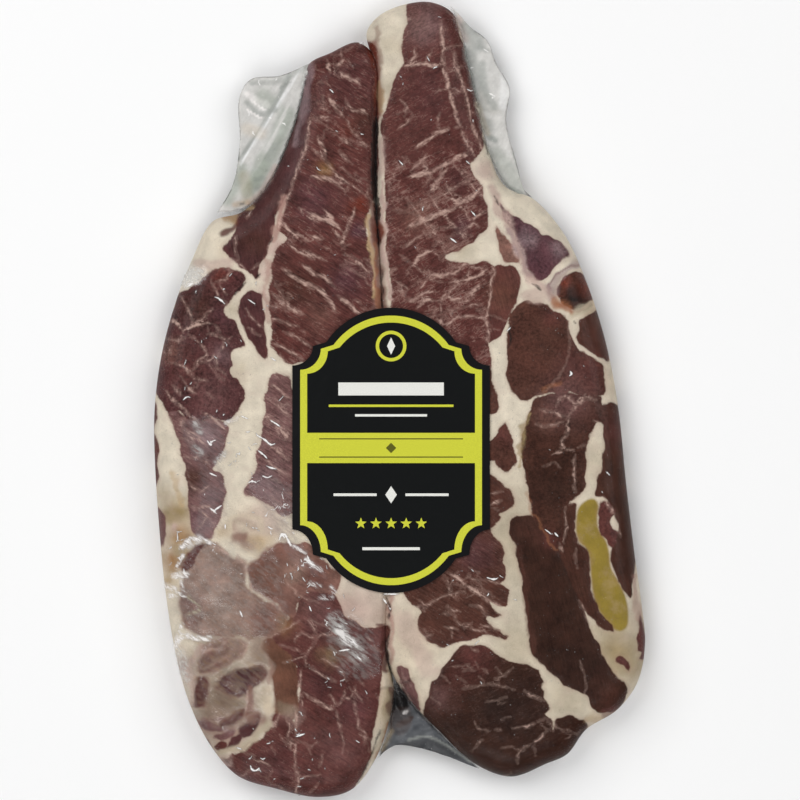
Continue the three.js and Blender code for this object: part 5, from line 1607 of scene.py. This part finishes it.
def label_print():
    """Fields of the print from the ground up, as outline and colour."""
    x = LABEL_X
    return [
        (label_loop(FRAME_INSET), LABEL_GREEN),
        (field(BAND_TOP, 1), LABEL_INNER), (field(BAND_BOTTOM, -1), LABEL_INNER),
        # Ring, bar and rules above the band
        (star(x, 22.5, 6.4, 6.4, 24), LABEL_GREEN), (star(x, 22.5, 5.0, 5.0, 24), LABEL_INNER),
        (star(x, 22.5, 3.6, 1.7, 2), LABEL_WHITE), (bar(x, 4.6, 44, 5.4), LABEL_WHITE),
        (bar(x, -2.4, 52, 1.0), LABEL_GREEN), (bar(x, -6.4, 30, 1.0), LABEL_WHITE),
        # Rules and a diamond on the band
        (bar(x, -16.2, 60, 0.5), LABEL_OLIVE), (bar(x, -23.8, 60, 0.5), LABEL_OLIVE),
        (star(x, -20, 2.2, 2.2, 2), LABEL_OLIVE),
        # Rules, a diamond and stars below the band
        (bar(x - 15, -39.5, 18, 1.1), LABEL_WHITE), (bar(x + 15, -39.5, 18, 1.1), LABEL_WHITE),
        (star(x, -39.5, 3.6, 2.4, 2), LABEL_WHITE),
        *((star(x + 6.3 * k, -51.5, 2.5, 1.05, 5), LABEL_GREEN) for k in range(-2, 3)),
        (bar(x, -62, 24, 1.2), LABEL_WHITE),
    ]


def make_label():
    """Thin plate that follows the pack, its face cut along the print."""
    loop = dense(label_loop(0), 1.5)
    fields = [(dense(outline, 2.0), shade) for outline, shade in label_print()]
    chains = [loop] + [outline for outline, _ in fields]
    edges = []
    start = 0
    for chain in chains:
        edges += [(start + i, start + (i + 1) % len(chain)) for i in range(len(chain))]
        start += len(chain)
    grid = hex_points(loop, LABEL_STEP)
    for chain in chains:
        grid = grid[nearest(grid, chain, True, 1.0)[0] > 0.5]
    xy = np.vstack([*chains, grid])
    face = triangulated(xy, edges, 1e-5, "fields of the print cross")

    count, total = len(loop), len(xy)
    ring = np.arange(count)
    after = (ring + 1) % count
    back = face[:, ::-1] + total
    walls = np.vstack([np.column_stack([ring, after + total, after]),
                       np.column_stack([ring, ring + total, after + total])])
    faces = np.vstack([face, back, walls])
    height = crown(xy)
    points = np.vstack([np.column_stack([xy, height + rise]) for rise in (LABEL_FACE, LABEL_FLOOR)])
    centres = xy[face].mean(axis=1)
    shades = np.tile(linear(*LABEL_BLACK), (len(face), 1))
    for outline, shade in fields:
        shades[inside(centres, outline)] = linear(*shade)
    shades = np.vstack([shades, np.tile(linear(*LABEL_BACK), (len(back), 1)),
                        np.tile(linear(*LABEL_EDGE), (len(walls), 1))])

    piece = make_piece("label_print", points, faces, label_material())
    ends = np.empty(2 * len(piece.data.edges), np.int32)
    piece.data.edges.foreach_get("vertices", ends)
    ends = ends.reshape(-1, 2)
    flat = ends[:, 0] // total == ends[:, 1] // total
    rims = flat & (ends % total < count).all(axis=1)
    sharp = piece.data.attributes.new("sharp_edge", "BOOLEAN", "EDGE")
    sharp.data.foreach_set("value", rims)
    layer = piece.data.attributes.new("print", "FLOAT_VECTOR", "CORNER")
    layer.data.foreach_set("vector", np.repeat(shades, 3, axis=0).astype(np.float32).ravel())
    return piece


meat = meat_material()
left_slice = make_slice("beef_left", LEFT_STEAK, meat)
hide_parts("vacuum_pouch")
right_slice = make_slice("beef_right", RIGHT_STEAK, meat)
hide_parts("vacuum_pouch")
film = make_film()
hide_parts("vacuum_pouch")
label = make_label()
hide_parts("label")

# Stage: pale floor, three soft square lights and a camera straight above, for a square picture
PIXEL = 0.42
PICTURE_SIDE = 800
FLOOR_HALF, FLOOR_Z = 6.0, -0.0002
FLOOR_GREY, WORLD_GREY = 0.94, 0.06
LIGHTS = (("key", 140, 20), ("fill", 20, 14), ("low", 260, 14))
LIGHT_ELEVATION, LIGHT_DISTANCE, LIGHT_SIZE = 50, 1.8, 1.4
LENS, SENSOR = 200, 36


def make_floor():
    """Plain pale ground under the pack."""
    mesh = bpy.data.meshes.new("floor")
    corners = [(FLOOR_HALF * i, FLOOR_HALF * j, FLOOR_Z) for i, j in ((-1, -1), (1, -1), (1, 1), (-1, 1))]
    mesh.from_pydata(corners, [], [(0, 1, 2, 3)])
    s = Shader("pale_floor")
    grey = (FLOOR_GREY, FLOOR_GREY, FLOOR_GREY, 1)
    pale = s.surface(Base_Color=grey, Roughness=0.9, Specular_IOR_Level=0.1)
    mesh.materials.append(s.finish(pale))
    floor = bpy.data.objects.new("floor", mesh)
    bpy.context.scene.collection.objects.link(floor)


def add_light(name, azimuth, power):
    """Square soft light aimed at the pack."""
    light = bpy.data.lights.new(name, "AREA")
    light.shape = "SQUARE"
    light.size = LIGHT_SIZE
    light.energy = power
    lamp = bpy.data.objects.new(name, light)
    turn, tilt = math.radians(azimuth), math.radians(LIGHT_ELEVATION)
    spot = Vector((math.cos(turn) * math.cos(tilt), math.sin(turn) * math.cos(tilt), math.sin(tilt)))
    lamp.location = spot * LIGHT_DISTANCE
    lamp.rotation_euler = spot.to_track_quat("Z", "Y").to_euler()
    bpy.context.scene.collection.objects.link(lamp)


def set_stage():
    """Floor, lights, faint surrounding light and camera."""
    make_floor()
    for name, azimuth, power in LIGHTS:
        add_light(name, azimuth, power)
    scene = bpy.context.scene
    world = bpy.data.worlds.new("studio")
    world.use_nodes = True
    faint = (WORLD_GREY, WORLD_GREY, WORLD_GREY, 1)
    world.node_tree.nodes["Background"].inputs["Color"].default_value = faint
    scene.world = world
    scene.view_settings.view_transform = "Standard"
    camera = bpy.data.cameras.new("camera")
    camera.lens = LENS
    camera.sensor_width = SENSOR
    viewer = bpy.data.objects.new("camera", camera)
    distance = PICTURE_SIDE * PIXEL * LENS / SENSOR
    viewer.location = (PIXEL * MM, 0, (distance + EDGE_HEIGHT) * MM)
    scene.collection.objects.link(viewer)
    scene.camera = viewer


set_stage()
